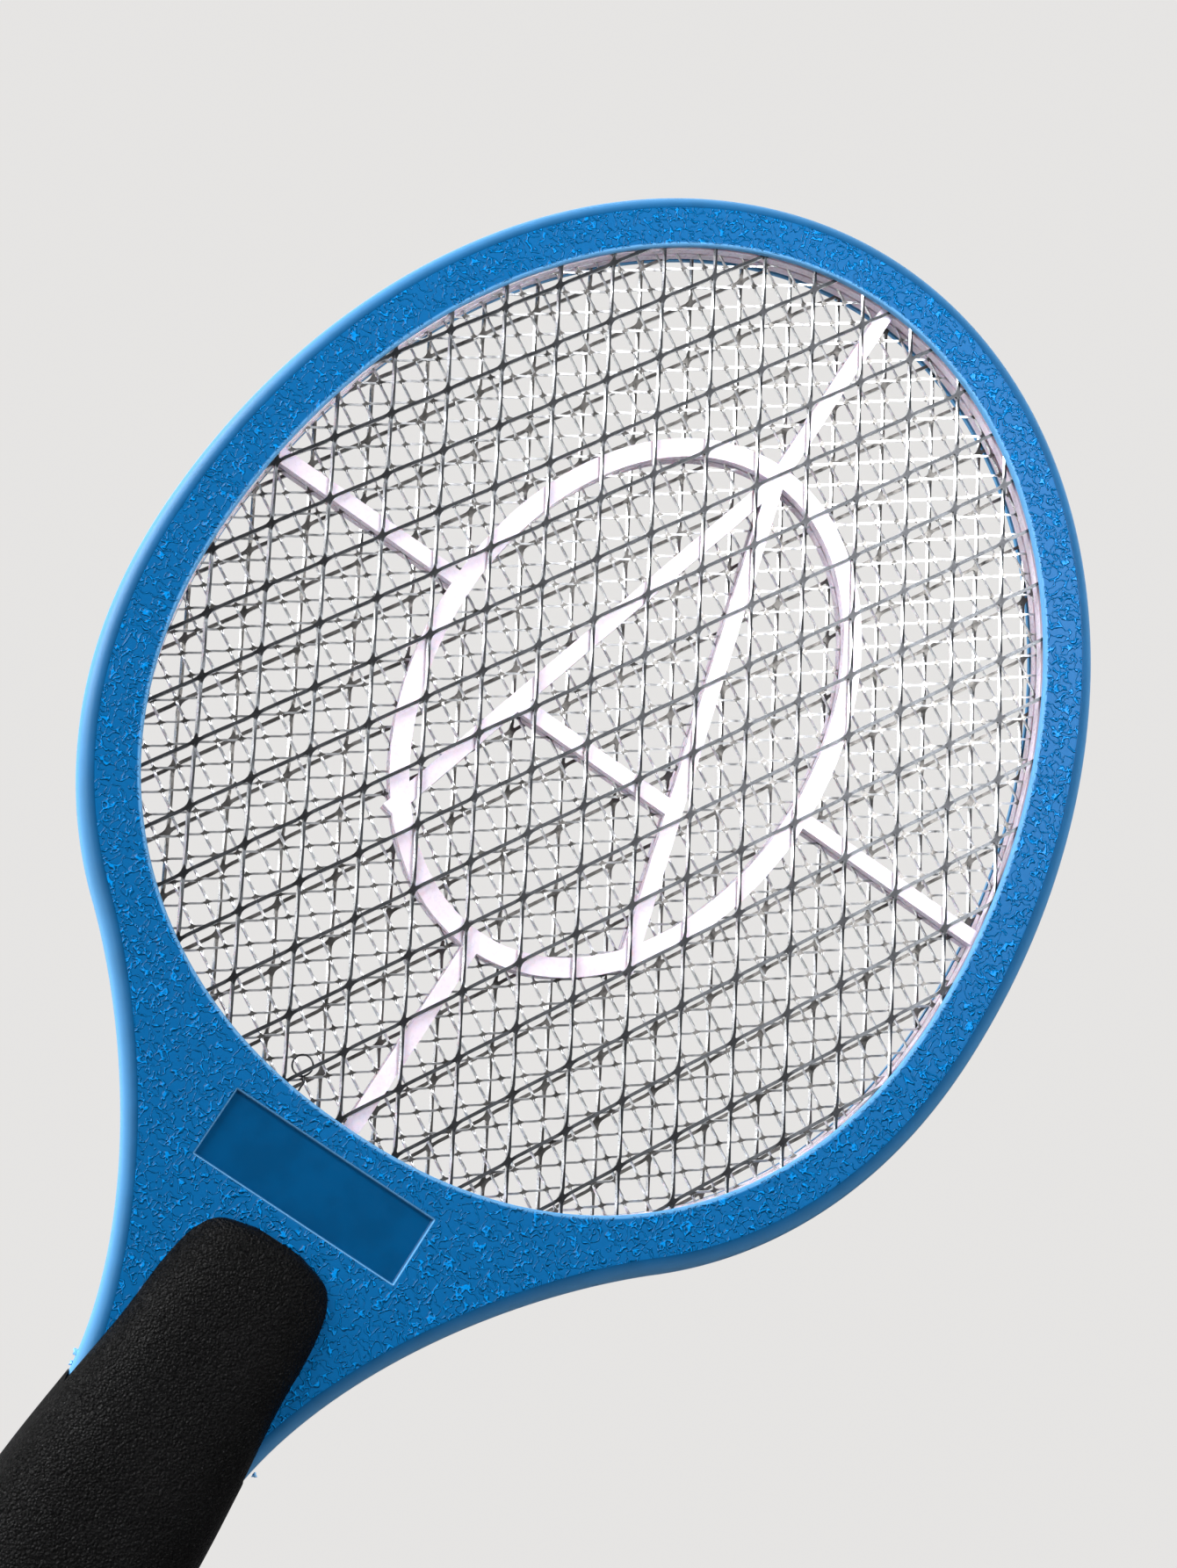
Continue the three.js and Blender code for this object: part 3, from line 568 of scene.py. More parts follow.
class Paint(Nodes):
    """A material whose patterns lie in the object's own space."""

    def __init__(self, name):
        self.material = bpy.data.materials.new(name)
        self.material.use_nodes = True
        super().__init__(self.material.node_tree)
        self.shader = self.tree.nodes["Principled BSDF"]
        self.place = self.node("ShaderNodeTexCoord").outputs["Object"]

    def base(self, **values):
        """Sets the shader's own inputs."""
        for key, value in values.items():
            self.set(self.shader.inputs[SHADER_INPUTS[key]], value)

    def attribute(self, name):
        """A number stored at each vertex."""
        return self.node("ShaderNodeAttribute", attribute_name=name).outputs["Fac"]

    def noise(self, size, detail=2.0, distortion=0.0):
        """Noise whose features have a given size."""
        inputs = {"Vector": self.place, "Scale": 1 / size}
        inputs.update({"Detail": detail, "Distortion": distortion})
        return self.node("ShaderNodeTexNoise", inputs).outputs["Fac"]

    def cells(self, size):
        """Distance in a pattern of cells of a given size."""
        inputs = {"Vector": self.place, "Scale": 1 / size}
        return self.node("ShaderNodeTexVoronoi", inputs).outputs["Distance"]

    def span(self, value, low, high, to_low=0.0, to_high=1.0):
        """A value's smooth step from one span to another."""
        inputs = {"Value": value, "From Min": low, "From Max": high}
        inputs.update({"To Min": to_low, "To Max": to_high})
        node = self.node("ShaderNodeMapRange", inputs, interpolation_type="SMOOTHSTEP")
        return node.outputs["Result"]

    def mix(self, factor, a, b):
        """One colour going over into another."""
        inputs = {0: factor, 6: opaque(a), 7: opaque(b)}
        return self.node("ShaderNodeMix", inputs, data_type="RGBA").outputs[2]

    def cloudy(self, color, size, dark, light, high=0.7):
        """A colour that drifts between a darker and a lighter shade of itself."""
        drift = self.span(self.noise(size, 3.0), 0.35, high)
        return self.mix(drift, shade(color, dark), shade(color, light))

    def bump(self, height, depth, under=None):
        """A relief of a given depth, laid over another one."""
        node = self.node("ShaderNodeBump", {"Height": height, "Distance": depth, "Strength": 1.0})
        if under:
            self.set(node.inputs["Normal"], under)
        return node.outputs["Normal"]


def opaque(value):
    """A colour with full alpha; sockets pass through."""
    if isinstance(value, bpy.types.NodeSocket):
        return value
    return (*value[:3], 1.0)


def shade(value, factor):
    """A colour made darker or lighter."""
    return tuple(min(1.0, c * factor) for c in value[:3])


def grained_blue():
    """Blue plastic with the squiggly raised grain of the frame's front, with painted shade in the
    grain's hollows and painted highlights on its crests and edges.
    """
    finish = settings("finish")
    p = Paint("frame_blue_grained")
    worms = p.math("ABSOLUTE", p.math("SUBTRACT", p.noise(1.25 * MM, 0.1, 0.6), 0.5))
    ridge = p.span(worms, 0.01, 0.1, 1.0, 0.0)
    patches = p.span(p.noise(14 * MM, 3.0), 0.1, 0.5)
    # Painted highlight: the ridges' crests, in patches, go over towards a paler blue.
    crest_highlight = p.math("MULTIPLY", p.span(worms, 0.0, 0.03, 1.0, 0.0), patches)
    # Painted shade and light: the grain's hollows are darkened to 0.6 of the blue and its ridges
    # lit to 1.05.
    tone = p.mix(ridge, shade(finish.blue, 0.6), shade(finish.blue, 1.05))
    tone = p.mix(p.math("MULTIPLY", crest_highlight, 0.4), tone, shade(finish.blue, 1.8))
    # Marked edges go over into the light blue: rubbing together with a painted highlight.
    tone = p.mix(p.math("MULTIPLY", p.attribute("rub_highlight"), 0.9), tone, finish.blue_light)
    relief = p.bump(ridge, 0.8 * MM, p.bump(p.noise(0.3 * MM, 2.0), 0.03 * MM))
    gloss = p.span(ridge, 0.0, 1.0, 0.44, 0.3)
    p.base(color=tone, roughness=gloss, normal=relief, specular=0.1)
    return p.material


def smooth_blue():
    """The same plastic where the mould is smooth: walls, lips and the sunk panel."""
    finish = settings("finish")
    p = Paint("frame_blue_smooth")
    scuff = p.noise(0.5 * MM, 4.0)
    tone = p.cloudy(finish.blue, 6 * MM, 0.3, 0.36)
    # Marked edges, walls and lips go over into the light blue: rubbing together with a painted
    # highlight.
    tone = p.mix(p.math("MULTIPLY", p.attribute("rub_highlight"), 0.7), tone, finish.blue_light)
    gloss = p.span(scuff, 0.3, 0.7, 0.28, 0.4)
    p.base(color=tone, roughness=gloss, normal=p.bump(scuff, 0.012 * MM), specular=0.08)
    return p.material


def spacer_plastic():
    """White, slightly lilac plastic that lets some light in."""
    p = Paint("spacer_white")
    streak = p.noise(0.7 * MM, 3.0, 0.5)
    tone = p.cloudy(settings("finish").white, 9 * MM, 0.93, 1.05)
    gloss = p.span(streak, 0.3, 0.7, 0.24, 0.38)
    p.base(color=tone, roughness=gloss, normal=p.bump(streak, 0.02 * MM))
    p.base(subsurface=0.25, scatter=1.2 * MM)
    return p.material


def grid_steel(name, size, color, gloss):
    """One face of an expanded grid's steel, stained and scratched in places."""
    p = Paint(name)
    scratch = p.noise(size * 0.5, 3.0)
    tone = p.cloudy(color, size * 6, 0.75, 1.15, 0.65)
    roughness = p.span(scratch, 0.3, 0.7, gloss, gloss + 0.14)
    p.base(color=tone, metallic=0.9, roughness=roughness, normal=p.bump(scratch, size * 0.05))
    return p.material


def leathery_black():
    """Black plastic with a fine leather grain and a few specks of dust."""
    p = Paint("handle_black")
    hills = p.noise(0.35 * MM, 2.0, 0.5)
    dust = p.span(p.cells(3.1 * MM), 0.0, 0.05, 1.0, 0.0)
    tone = p.cloudy(settings("finish").black, 12 * MM, 0.8, 1.3)
    tone = p.mix(p.math("MULTIPLY", dust, 0.3), tone, (0.25, 0.25, 0.26))
    relief = p.bump(p.math("SUBTRACT", hills, p.cells(0.5 * MM)), 0.3 * MM)
    gloss = p.span(hills, 0.3, 0.7, 0.26, 0.38)
    p.base(color=tone, roughness=gloss, normal=relief, specular=0.06)
    return p.material


def plain_finish(name, color, roughness, metallic=0.0, size=1.5 * MM, depth=0.01 * MM, **more):
    """A finish with gentle variation of tone, gloss and surface."""
    p = Paint(name)
    fine = p.noise(size * 0.4, 3.0)
    tone = p.cloudy(color, size * 4, 0.82, 1.12)
    gloss = p.span(fine, 0.3, 0.7, roughness - 0.07, roughness + 0.07)
    p.base(color=tone, roughness=gloss, metallic=metallic, normal=p.bump(fine, depth), **more)
    return p.material


# ---------------------------------------------------------------- stage


def aim(thing, target, roll=0.0):
    """Points a light or camera at a place."""
    direction = (Vector(target) - thing.location).normalized()
    turn = direction.to_track_quat("-Z", "Y") @ Matrix.Rotation(roll, 3, "Z").to_quaternion()
    thing.rotation_mode = "QUATERNION"
    thing.rotation_quaternion = turn


def area_light(name, place, target, size, watts):
    """A soft rectangular light."""
    data = bpy.data.lights.new(name, "AREA")
    data.shape = "RECTANGLE"
    data.size, data.size_y = size
    data.energy = watts
    light = bpy.data.objects.new(name, data)
    bpy.context.scene.collection.objects.link(light)
    light.location = place
    aim(light, target)


def head_centre():
    """Centre of the spokes, on the head's front."""
    return Vector((0, HEAD_FRONT, centre_z()))


CAMERA_FROM_CENTRE = Vector((-37.6, -398.3, -131.2)) * MM
CAMERA_AIM = Vector((1.39, 0, -18.68)) * MM
CAMERA_ROLL = math.radians(33.2)
CAMERA_LENS = 52.44
CAMERA_SENSOR = 36
CAMERA_NEAREST = 10 * MM


def add_camera():
    """The camera, below the head's middle and rolled."""
    data = bpy.data.cameras.new("camera")
    data.lens = CAMERA_LENS
    data.sensor_width = CAMERA_SENSOR
    data.clip_start = CAMERA_NEAREST
    camera = bpy.data.objects.new("camera", data)
    bpy.context.scene.collection.objects.link(camera)
    camera.location = head_centre() + CAMERA_FROM_CENTRE
    aim(camera, head_centre() + CAMERA_AIM, CAMERA_ROLL)
    bpy.context.scene.camera = camera


SURROUND_SEEN = (0.79, 0.78, 0.77, 1)
SURROUND_MIRRORED = (0.085, 0.087, 0.093, 1)
FLOOR_RADIUS = 1.2
FLOOR_SIDES = 96


def add_world():
    """A pale surround for the eye, and a darker one for what metal mirrors."""
    world = bpy.data.worlds.new("studio")
    bpy.context.scene.world = world
    world.use_nodes = True
    nodes, links = world.node_tree.nodes, world.node_tree.links
    seen = nodes["Background"]
    seen.inputs["Color"].default_value = SURROUND_SEEN
    lit = nodes.new("ShaderNodeBackground")
    lit.inputs["Color"].default_value = SURROUND_MIRRORED
    choose = nodes.new("ShaderNodeMixShader")
    path = nodes.new("ShaderNodeLightPath")
    links.new(path.outputs["Is Camera Ray"], choose.inputs[0])
    links.new(lit.outputs[0], choose.inputs[1])
    links.new(seen.outputs[0], choose.inputs[2])
    links.new(choose.outputs[0], nodes["World Output"].inputs["Surface"])


def add_floor():
    """A plain pale floor, wider than the swatter is tall."""
    bm = bmesh.new()
    bmesh.ops.create_circle(bm, cap_ends=True, radius=FLOOR_RADIUS, segments=FLOOR_SIDES)
    floor = object_of(mesh_of(bm, "floor"), "floor")
    if floor.data.polygons[0].normal.z < 0:
        floor.data.flip_normals()
    dress(floor, plain_finish("floor_pale", (0.6, 0.59, 0.58), 0.8, size=0.6, specular=0.0))


# Name, place from the head's centre, width and height, and power of each soft box.
LIGHTS = (
    ("key", (0.1, -0.28, 0.18), (0.16, 0.16), 1.7),
    ("left", (-1.6, -0.24, 0.1), (1.5, 1.4), 100),
    ("left_front", (-1.2, -1.3, 0.5), (0.9, 0.9), 0.25),
    ("right", (1.1, -0.9, 0.0), (0.8, 1.2), 0.4),
    ("above", (0.0, 2.6, 2.6), (6.0, 4.6), 66),
)


class SWATTER_OT_stage(bpy.types.Operator):
    """Set up the floor, the light and the camera"""

    bl_idname = "swatter.stage"
    bl_label = "Stage"

    def execute(self, context):
        context.scene.view_settings.view_transform = "Standard"
        centre = head_centre()
        add_world()
        add_floor()
        add_camera()
        for name, offset, size, watts in LIGHTS:
            area_light(name, centre + Vector(offset), centre, size, watts)
        return {"FINISHED"}


# ---------------------------------------------------------------- frame

# Rounding at the seam, and the flat band of face beside each rounded edge.
SEAM_ROUND = 0.25 * MM
EDGE_BAND = 0.35 * MM
ROUND_STEPS = 5
LIP_STEPS = 4
# How pale each rounded edge is painted, for rubbing together with a painted highlight, and how
# fast the outer edge's paleness fades.
RUB_HIGHLIGHT_EDGE = 0.8
RUB_HIGHLIGHT_FADE = 0.17
RUB_HIGHLIGHT_LIP = 0.55
RUB_HIGHLIGHT_WALL = 0.7


def rounded(grow, y_flat, y_side, radius):
    """Growth and depth pairs round an outer edge, from the side wall to the flat face."""
    sign = 1 if y_side > y_flat else -1
    pairs = []
    for i in range(ROUND_STEPS + 1):
        turn = math.pi / 2 * i / ROUND_STEPS
        inset = radius * (1 - math.cos(turn))
        pairs.append((grow - inset, y_flat + sign * radius * (1 - math.sin(turn))))
    return pairs


def mark_rub_highlight(rub_highlight, loops, weight):
    """Notes how pale the vertices of some loops are painted: rubbing together with a painted
    highlight.
    """
    for loop in loops:
        for vert in loop:
            rub_highlight[vert] = weight


def panel_corners(grow=0.0):
    """Corners of the sunk panel on the neck."""
    head = settings("head")
    top = widest_z() - head.opening_below - head.panel_below + grow
    half = head.panel_width / 2 + grow
    low = top - head.panel_height - 2 * grow
    return [(half, top), (-half, top), (-half, low), (half, low)]


def outer_edge(bm, rub_highlight, y_face, y_seam):
    """The frame's side wall from the seam to the face; returns its rings."""
    head = settings("head")
    inward = 1 if y_seam > y_face else -1
    rings = [ring(bm, head_outline(head.rim_width - SEAM_ROUND), y_seam)]
    rings.append(ring(bm, head_outline(head.rim_width), y_seam - inward * SEAM_ROUND))
    edge = rounded(head.rim_width, y_face, y_seam, head.rim_round)
    rings += [ring(bm, head_outline(grow), y) for grow, y in edge]
    rings.append(ring(bm, head_outline(edge[-1][0] - EDGE_BAND), y_face))
    # The outer edge is painted paler at the seam, fading over the rounding: rubbing together with
    # a painted highlight.
    mark_rub_highlight(rub_highlight, rings[:2], RUB_HIGHLIGHT_EDGE)
    for i, loop in enumerate(rings[2:-1]):
        mark_rub_highlight(rub_highlight, [loop], max(0.0, RUB_HIGHLIGHT_EDGE - RUB_HIGHLIGHT_FADE * i))
    for a, b in zip(rings, rings[1:]):
        skirt(bm, a, b, 0 if b is rings[-1] else 1)
    return rings


def lip_edge(bm, rub_highlight, y_face, y_lip):
    """The lip round the opening, from the face to its back; returns its rings."""
    head = settings("head")
    radius = head.lip_round
    inward = 1 if y_lip > y_face else -1
    rings = [ring(bm, head_oval(radius + EDGE_BAND), y_face)]
    for i in range(LIP_STEPS + 1):
        turn = math.pi / 2 * i / LIP_STEPS
        y = y_face + inward * radius * (1 - math.cos(turn))
        rings.append(ring(bm, head_oval(radius * (1 - math.sin(turn))), y))
    rings.append(ring(bm, head_oval(0), y_lip))
    # The lip's rounding and wall are painted paler: rubbing together with a painted highlight.
    mark_rub_highlight(rub_highlight, rings[1:4], RUB_HIGHLIGHT_LIP)
    mark_rub_highlight(rub_highlight, rings[4:], RUB_HIGHLIGHT_WALL)
    for a, b in zip(rings, rings[1:]):
        skirt(bm, a, b, 0 if a is rings[0] else 1)
    return rings


def frame_half(name, y_face, y_seam, with_panel):
    """One moulded half of the head's frame."""
    head = settings("head")
    y_lip = y_face + math.copysign(head.lip, y_seam - y_face)
    bm = bmesh.new()
    rub_highlight = {}
    outer = outer_edge(bm, rub_highlight, y_face, y_seam)
    hole = lip_edge(bm, rub_highlight, y_face, y_lip)
    pocket_outline = head_outline(head.rim_width - head.frame_wall)
    pocket_back, pocket_front = ring(bm, pocket_outline, y_lip), ring(bm, pocket_outline, y_seam)
    fill(bm, [pocket_back, hole[-1]], 1)
    skirt(bm, pocket_back, pocket_front, 1)
    skirt(bm, pocket_front, outer[0], 1)
    face_loops = [outer[-1], hole[0]]
    if with_panel:
        face_loops.append(sunk_panel(bm, y_face, rub_highlight))
    fill(bm, face_loops, 0)
    bm.verts.index_update()
    weights = [rub_highlight.get(vert, 0.0) for vert in bm.verts]
    mesh = mesh_of(bm, name)
    mesh.attributes.new("rub_highlight", "FLOAT", "POINT").data.foreach_set("value", weights)
    return smooth(object_of(mesh, name), 28)


def rounded_rectangle(corners, radius, steps=4):
    """A rectangle's outline with round corners."""
    (x1, z1), (x0, _), (_, z0), _ = corners
    centres = [
        (x1 - radius, z1 - radius, 0),
        (x0 + radius, z1 - radius, 1),
        (x0 + radius, z0 + radius, 2),
        (x1 - radius, z0 + radius, 3),
    ]
    points = []
    for x, z, quarter in centres:
        for i in range(steps + 1):
            turn = math.pi / 2 * (quarter + i / steps)
            points.append((x + radius * math.cos(turn), z + radius * math.sin(turn)))
    return points


# Rings of the sunk panel from its rim to its floor, in millimetres: growth, corner
# radius, and depth, which counts from the face (0) or from the panel's floor (1).
PANEL_RINGS = (
    (0.25, 0.35, 0, 0),
    (0.08, 0.2, 0, 0.06),
    (0.0, 0.15, 0, 0.25),
    (-0.15, 0.15, 1, -0.12),
    (-0.3, 0.15, 1, 0),
)
PANEL_GUARD = 0.6 * MM


def sunk_panel(bm, y_face, rub_highlight):
    """The sunk panel's rim, walls and floor; returns the outline that the face joins."""
    depth = settings("head").panel_depth
    rings = []
    for grow, radius, from_floor, more in PANEL_RINGS:
        outline = rounded_rectangle(panel_corners(grow * MM), radius * MM)
        rings.append(ring(bm, outline, y_face + from_floor * depth + more * MM))
    outline = rounded_rectangle(panel_corners(PANEL_GUARD), PANEL_GUARD)
    guard = ring(bm, outline, y_face)
    skirt(bm, guard, rings[0], 0)
    # The panel's walls are painted paler: a painted highlight along the panel's edges, besides
    # rubbing.
    mark_rub_highlight(rub_highlight, rings[1:3], RUB_HIGHLIGHT_WALL)
    for a, b in zip(rings, rings[1:]):
        skirt(bm, a, b, 1)
    fill(bm, rings[-1:], 1)
    return guard


class SWATTER_OT_frame(bpy.types.Operator):
    """Build the two blue halves of the head's frame"""

    bl_idname = "swatter.frame"
    bl_label = "Frame"

    def execute(self, context):
        grained, plain = grained_blue(), smooth_blue()
        front = frame_half("frame_front_half", HEAD_FRONT, SEAM[0], True)
        rear = frame_half("frame_rear_half", HEAD_BACK, SEAM[1], False)
        for piece, node in ((front, "front_frame"), (rear, "rear_frame")):
            hand_over(dress(piece, grained, plain), "racket", "frame_blue", node)
        return {"FINISHED"}


# ---------------------------------------------------------------- spacers


def plate_tool(outline, y0, y1, holes=()):
    """A flat plate with holes, as a tool."""
    bm = bmesh.new()
    fronts = [ring(bm, points, y0) for points in (outline, *holes)]
    backs = [ring(bm, points, y1) for points in (outline, *holes)]
    for a, b in zip(fronts, backs):
        skirt(bm, a, b)
    fill(bm, fronts)
    fill(bm, backs)
    return object_of(mesh_of(bm, "tool"), "tool")


OVAL_STEPS = 128
# How far the spokes run on into the ring.
BAR_REACH = 2 * MM
# The pointed A, as shares of the oval's half width and half height.
LEG_SPREAD = 0.68
LEG_DROP = 0.8
CROSSBAR_DROP = 0.24
APEX_DROP = 1 * MM
# Gap between the ring and the frame's wall.
RING_FIT = 0.3 * MM


def bar_outline(start, end, width):
    """A straight bar's outline between two places."""
    along = Vector((end[0] - start[0], end[1] - start[1])).normalized()
    side = Vector((-along.y, along.x)) * (width / 2)
    ends = [Vector(start), Vector(end)]
    return [tuple(p) for p in (ends[0] + side, ends[0] - side, ends[1] - side, ends[1] + side)]


def oval_outline(grow):
    """The spacer's inner oval, grown outwards."""
    sizes = settings("spacer")
    a, b = sizes.oval_half_width + grow, sizes.oval_half_height + grow
    turns = [math.tau * i / OVAL_STEPS for i in range(OVAL_STEPS)]
    return [(a * math.cos(turn), centre_z() + b * math.sin(turn)) for turn in turns]


def spacer_bars():
    """Starts, ends and widths of a spacer's straight bars."""
    sizes, head = settings("spacer"), settings("head")
    z = centre_z()
    half = opening_half_width() + BAR_REACH
    top = widest_z() + head.opening_above + BAR_REACH
    low = widest_z() - head.opening_below - BAR_REACH
    a, b = sizes.oval_half_width, sizes.oval_half_height
    spread, drop, apex, cross = LEG_SPREAD * a, -LEG_DROP * b, b - APEX_DROP, -CROSSBAR_DROP * b
    cross_x = spread * (apex - cross) / (apex - drop)
    spoke, inner = sizes.spoke_width, sizes.inner_width
    return [
        ((0, z + b), (0, top), spoke),
        ((0, low), (0, z - b), spoke),
        ((-half, z), (-a, z), spoke),
        ((a, z), (half, z), spoke),
        ((0, z + apex), (-spread, z + drop), inner),
        ((0, z + apex), (spread, z + drop), inner),
        ((-cross_x, z + cross), (cross_x, z + cross), inner),
    ]


def spacer(name, node):
    """One spacer: ring, spokes, inner oval and the pointed A inside it."""
    sizes, head = settings("spacer"), settings("head")
    y0, y1 = layer(node)
    outside = head_oval(head.rim_width - head.frame_wall - RING_FIT)
    piece = plate_tool(outside, y0, y1, [head_oval(0)])
    half = sizes.oval_width / 2
    combine(piece, plate_tool(oval_outline(half), y0, y1, [oval_outline(-half)]), "UNION")
    for start, end, width in spacer_bars():
        combine(piece, plate_tool(bar_outline(start, end, width), y0, y1), "UNION")
    bevel = piece.modifiers.new("Edges", "BEVEL")
    bevel.width = sizes.edge_round
    bevel.segments = 2
    bevel.limit_method = "ANGLE"
    bevel.angle_limit = math.radians(50)
    settle(piece)
    piece.name = piece.data.name = name
    return smooth(piece, 40)


class SWATTER_OT_spacers(bpy.types.Operator):
    """Build the two white spacers between the grids"""

    bl_idname = "swatter.spacers"
    bl_label = "Spacers"

    def execute(self, context):
        white = spacer_plastic()
        for name in ("front", "rear"):
            node = name + "_spacer"
            piece = dress(spacer(f"spacer_{name}_bars", node), white)
            hand_over(piece, "racket", "spacer_white", node)
        return {"FINISHED"}


# ---------------------------------------------------------------- grids


# Most of a straight stretch that one bend may take.
BEND_SHARE = 0.48


def bent_path(points, bend, steps):
    """A line through points whose inner corners are rounded over a given length."""
    path = [points[0]]
    for before, corner, after in zip(points, points[1:], points[2:]):
        back = (before - corner).normalized()
        ahead = (after - corner).normalized()
        rooms = [min(bend, (other - corner).length * BEND_SHARE) for other in (before, after)]
        start, end = corner + back * rooms[0], corner + ahead * rooms[1]
        for i in range(steps + 1):
            t = i / steps
            path.append(start * (1 - t) ** 2 + corner * 2 * t * (1 - t) + end * t * t)
    path.append(points[-1])
    return path


STRAND_CORNERS = ((-1, -1), (1, -1), (1, 1), (-1, 1))


def strand(bm, path, sizes, tilt):
    """A flat strand along a path in the XZ plane, tilted about its own line."""
    rings = []
    depth = Vector((0, 1, 0))
    for i, point in enumerate(path):
        along = (path[min(i + 1, len(path) - 1)] - path[max(i - 1, 0)]).normalized()
        side = Vector((along.z, 0, -along.x))
        turn = tilt(point, along)
        flat = (side * math.cos(turn) + depth * math.sin(turn)) * (sizes.strand / 2)
        up = (depth * math.cos(turn) - side * math.sin(turn)) * (sizes.sheet / 2)
        rings.append([bm.verts.new(point + flat * a + up * b) for a, b in STRAND_CORNERS])
    for a, b in zip(rings, rings[1:]):
        for i in range(4):
            j = (i + 1) % 4
            bm.faces.new((a[i], a[j], b[j], b[i])).material_index = i % 2


FACE_KINDS = ("cut", "web")
# The web's points and waists, as shares of the bond and of the strand's width.
WEB_TIP = (0.45, 1.6)
WEB_WAIST = 0.85
WEB_CLEFT = 0.4
WEB_DEPTH = 0.54
# Share of a strand over which it tilts away from the knuckle's plane.
TILT_REACH = 0.4


def web(bm, sizes):
    """The solid star of metal where two strands are still joined."""
    lean = Vector((sizes.short_way, sizes.long_way)).normalized()
    tip = lean * (WEB_TIP[0] * sizes.bond + WEB_TIP[1] * sizes.strand)
    waist, cleft = WEB_WAIST * sizes.strand, WEB_CLEFT * (sizes.bond + sizes.strand)
    quarter = [(waist, 0), (tip.x, tip.y), (0, cleft), (-tip.x, tip.y)]
    outline = quarter + [(-x, -z) for x, z in quarter]
    half = WEB_DEPTH * sizes.sheet
    front, back = ring(bm, outline, -half), ring(bm, outline, half)
    skirt(bm, front, back, 2)
    for loop, y in ((front, -half), (back, half)):
        hub = bm.verts.new((0, y, 0))
        for i, vert in enumerate(loop):
            bm.faces.new((hub, vert, loop[(i + 1) % len(loop)])).material_index = 2


def knuckle(sizes, lean, steps=2):
    """The piece of mesh round one knuckle: two strands that meet, run side by side and part.

    Its slit faces, the narrow sides of the strands, are marked as cut, and the solid
    metal between the strands as web.
    """
    bm = bmesh.new()
    reach_x, reach_z = sizes.short_way / 4, sizes.long_way / 4
    near, half_bond = sizes.strand / 2, sizes.bond / 2

    def tilt(point, along):
        away = min(1.0, abs(abs(point.x) - near) / (reach_x * TILT_REACH))
        return away * (lean[0] if along.x * along.z > 0 else lean[1])

    for side in (-1, 1):
        places = ((reach_x, -reach_z), (near, -half_bond), (near, half_bond), (reach_x, reach_z))
        corners = [Vector((side * x, 0, z)) for x, z in places]
        strand(bm, bent_path(corners, sizes.bend, steps), sizes, tilt)
    web(bm, sizes)
    mesh = mesh_of(bm, "knuckle")
    for index, kind in enumerate(FACE_KINDS, 1):
        marks = [polygon.material_index == index for polygon in mesh.polygons]
        mesh.attributes.new(kind, "BOOLEAN", "FACE").data.foreach_set("value", marks)
    return object_of(mesh, "knuckle")


def inside_oval(t, position, grow):
    """Whether a place lies inside the opening's curve, grown outwards."""
    head = settings("head")
    parts = t.node("ShaderNodeSeparateXYZ", {0: position})
    above = t.math("SUBTRACT", parts.outputs["Z"], widest_z())
    upper = t.math("GREATER_THAN", above, 0.0)
    tall, low = head.opening_above + grow, head.opening_below + grow
    full = head.opening_fullness
    height = t.math("ADD", t.math("MULTIPLY", upper, tall - low), low)
    power = t.math("ADD", t.math("MULTIPLY", upper, 2 - full), full)
    across = t.math("DIVIDE", t.math("ABSOLUTE", parts.outputs["X"]), opening_half_width() + grow)
    up = t.math("DIVIDE", t.math("ABSOLUTE", above), height)
    total = t.math("ADD", t.math("POWER", across, power), t.math("POWER", up, power))
    return t.math("LESS_THAN", total, 1.0)


def lattice(t, short_way, long_way, centre, turn, columns, rows):
    """Points of a staggered lattice in the XZ plane, turned about its centre."""
    joined = t.node("GeometryNodeJoinGeometry")
    for half in (0.0, 0.5):
        size_x = t.math("MULTIPLY", short_way, 2.0 * columns)
        size_z = t.math("MULTIPLY", long_way, 2.0 * rows)
        inputs = {"Size X": size_x, "Size Y": size_z}
        inputs.update({"Vertices X": 2 * columns + 1, "Vertices Y": 2 * rows + 1})
        grid = t.node("GeometryNodeMeshGrid", inputs).outputs["Mesh"]
        step_x, step_z = (t.math("MULTIPLY", way, half) for way in (short_way, long_way))
        shift = t.node("ShaderNodeCombineXYZ", {0: step_x, 2: step_z}).outputs[0]
        inputs = {"Geometry": grid, "Translation": shift, "Rotation": (math.pi / 2, 0, 0)}
        stood = t.node("GeometryNodeTransform", inputs).outputs[0]
        t.tree.links.new(stood, joined.inputs[0])
    inputs = {"Geometry": joined.outputs[0], "Translation": centre, "Rotation": turn}
    placed = t.node("GeometryNodeTransform", inputs).outputs[0]
    return t.node("GeometryNodeMeshToPoints", {"Mesh": placed}).outputs[0]


# Waves to the metre, and how much of them goes across, in depth and up.
WAVE_SCALE = 32.0
WAVE_SHARES = (1.0, 0.3, 1.0)


def wavy(t, geometry, amount, seed):
    """Lets a sheet stray gently from true."""
    place = t.node("GeometryNodeInputPosition").outputs[0]
    inputs = {"Vector": place, "W": seed, "Scale": WAVE_SCALE, "Detail": 1.0}
    pattern = t.node("ShaderNodeTexNoise", inputs, noise_dimensions="4D").outputs["Color"]
    offset = t.vector("SUBTRACT", {0: pattern, 1: (0.5, 0.5, 0.5)})
    offset = t.vector("MULTIPLY", {0: offset, 1: WAVE_SHARES})
    offset = t.vector("SCALE", {0: offset, "Scale": amount})
    return t.moved(geometry, offset)


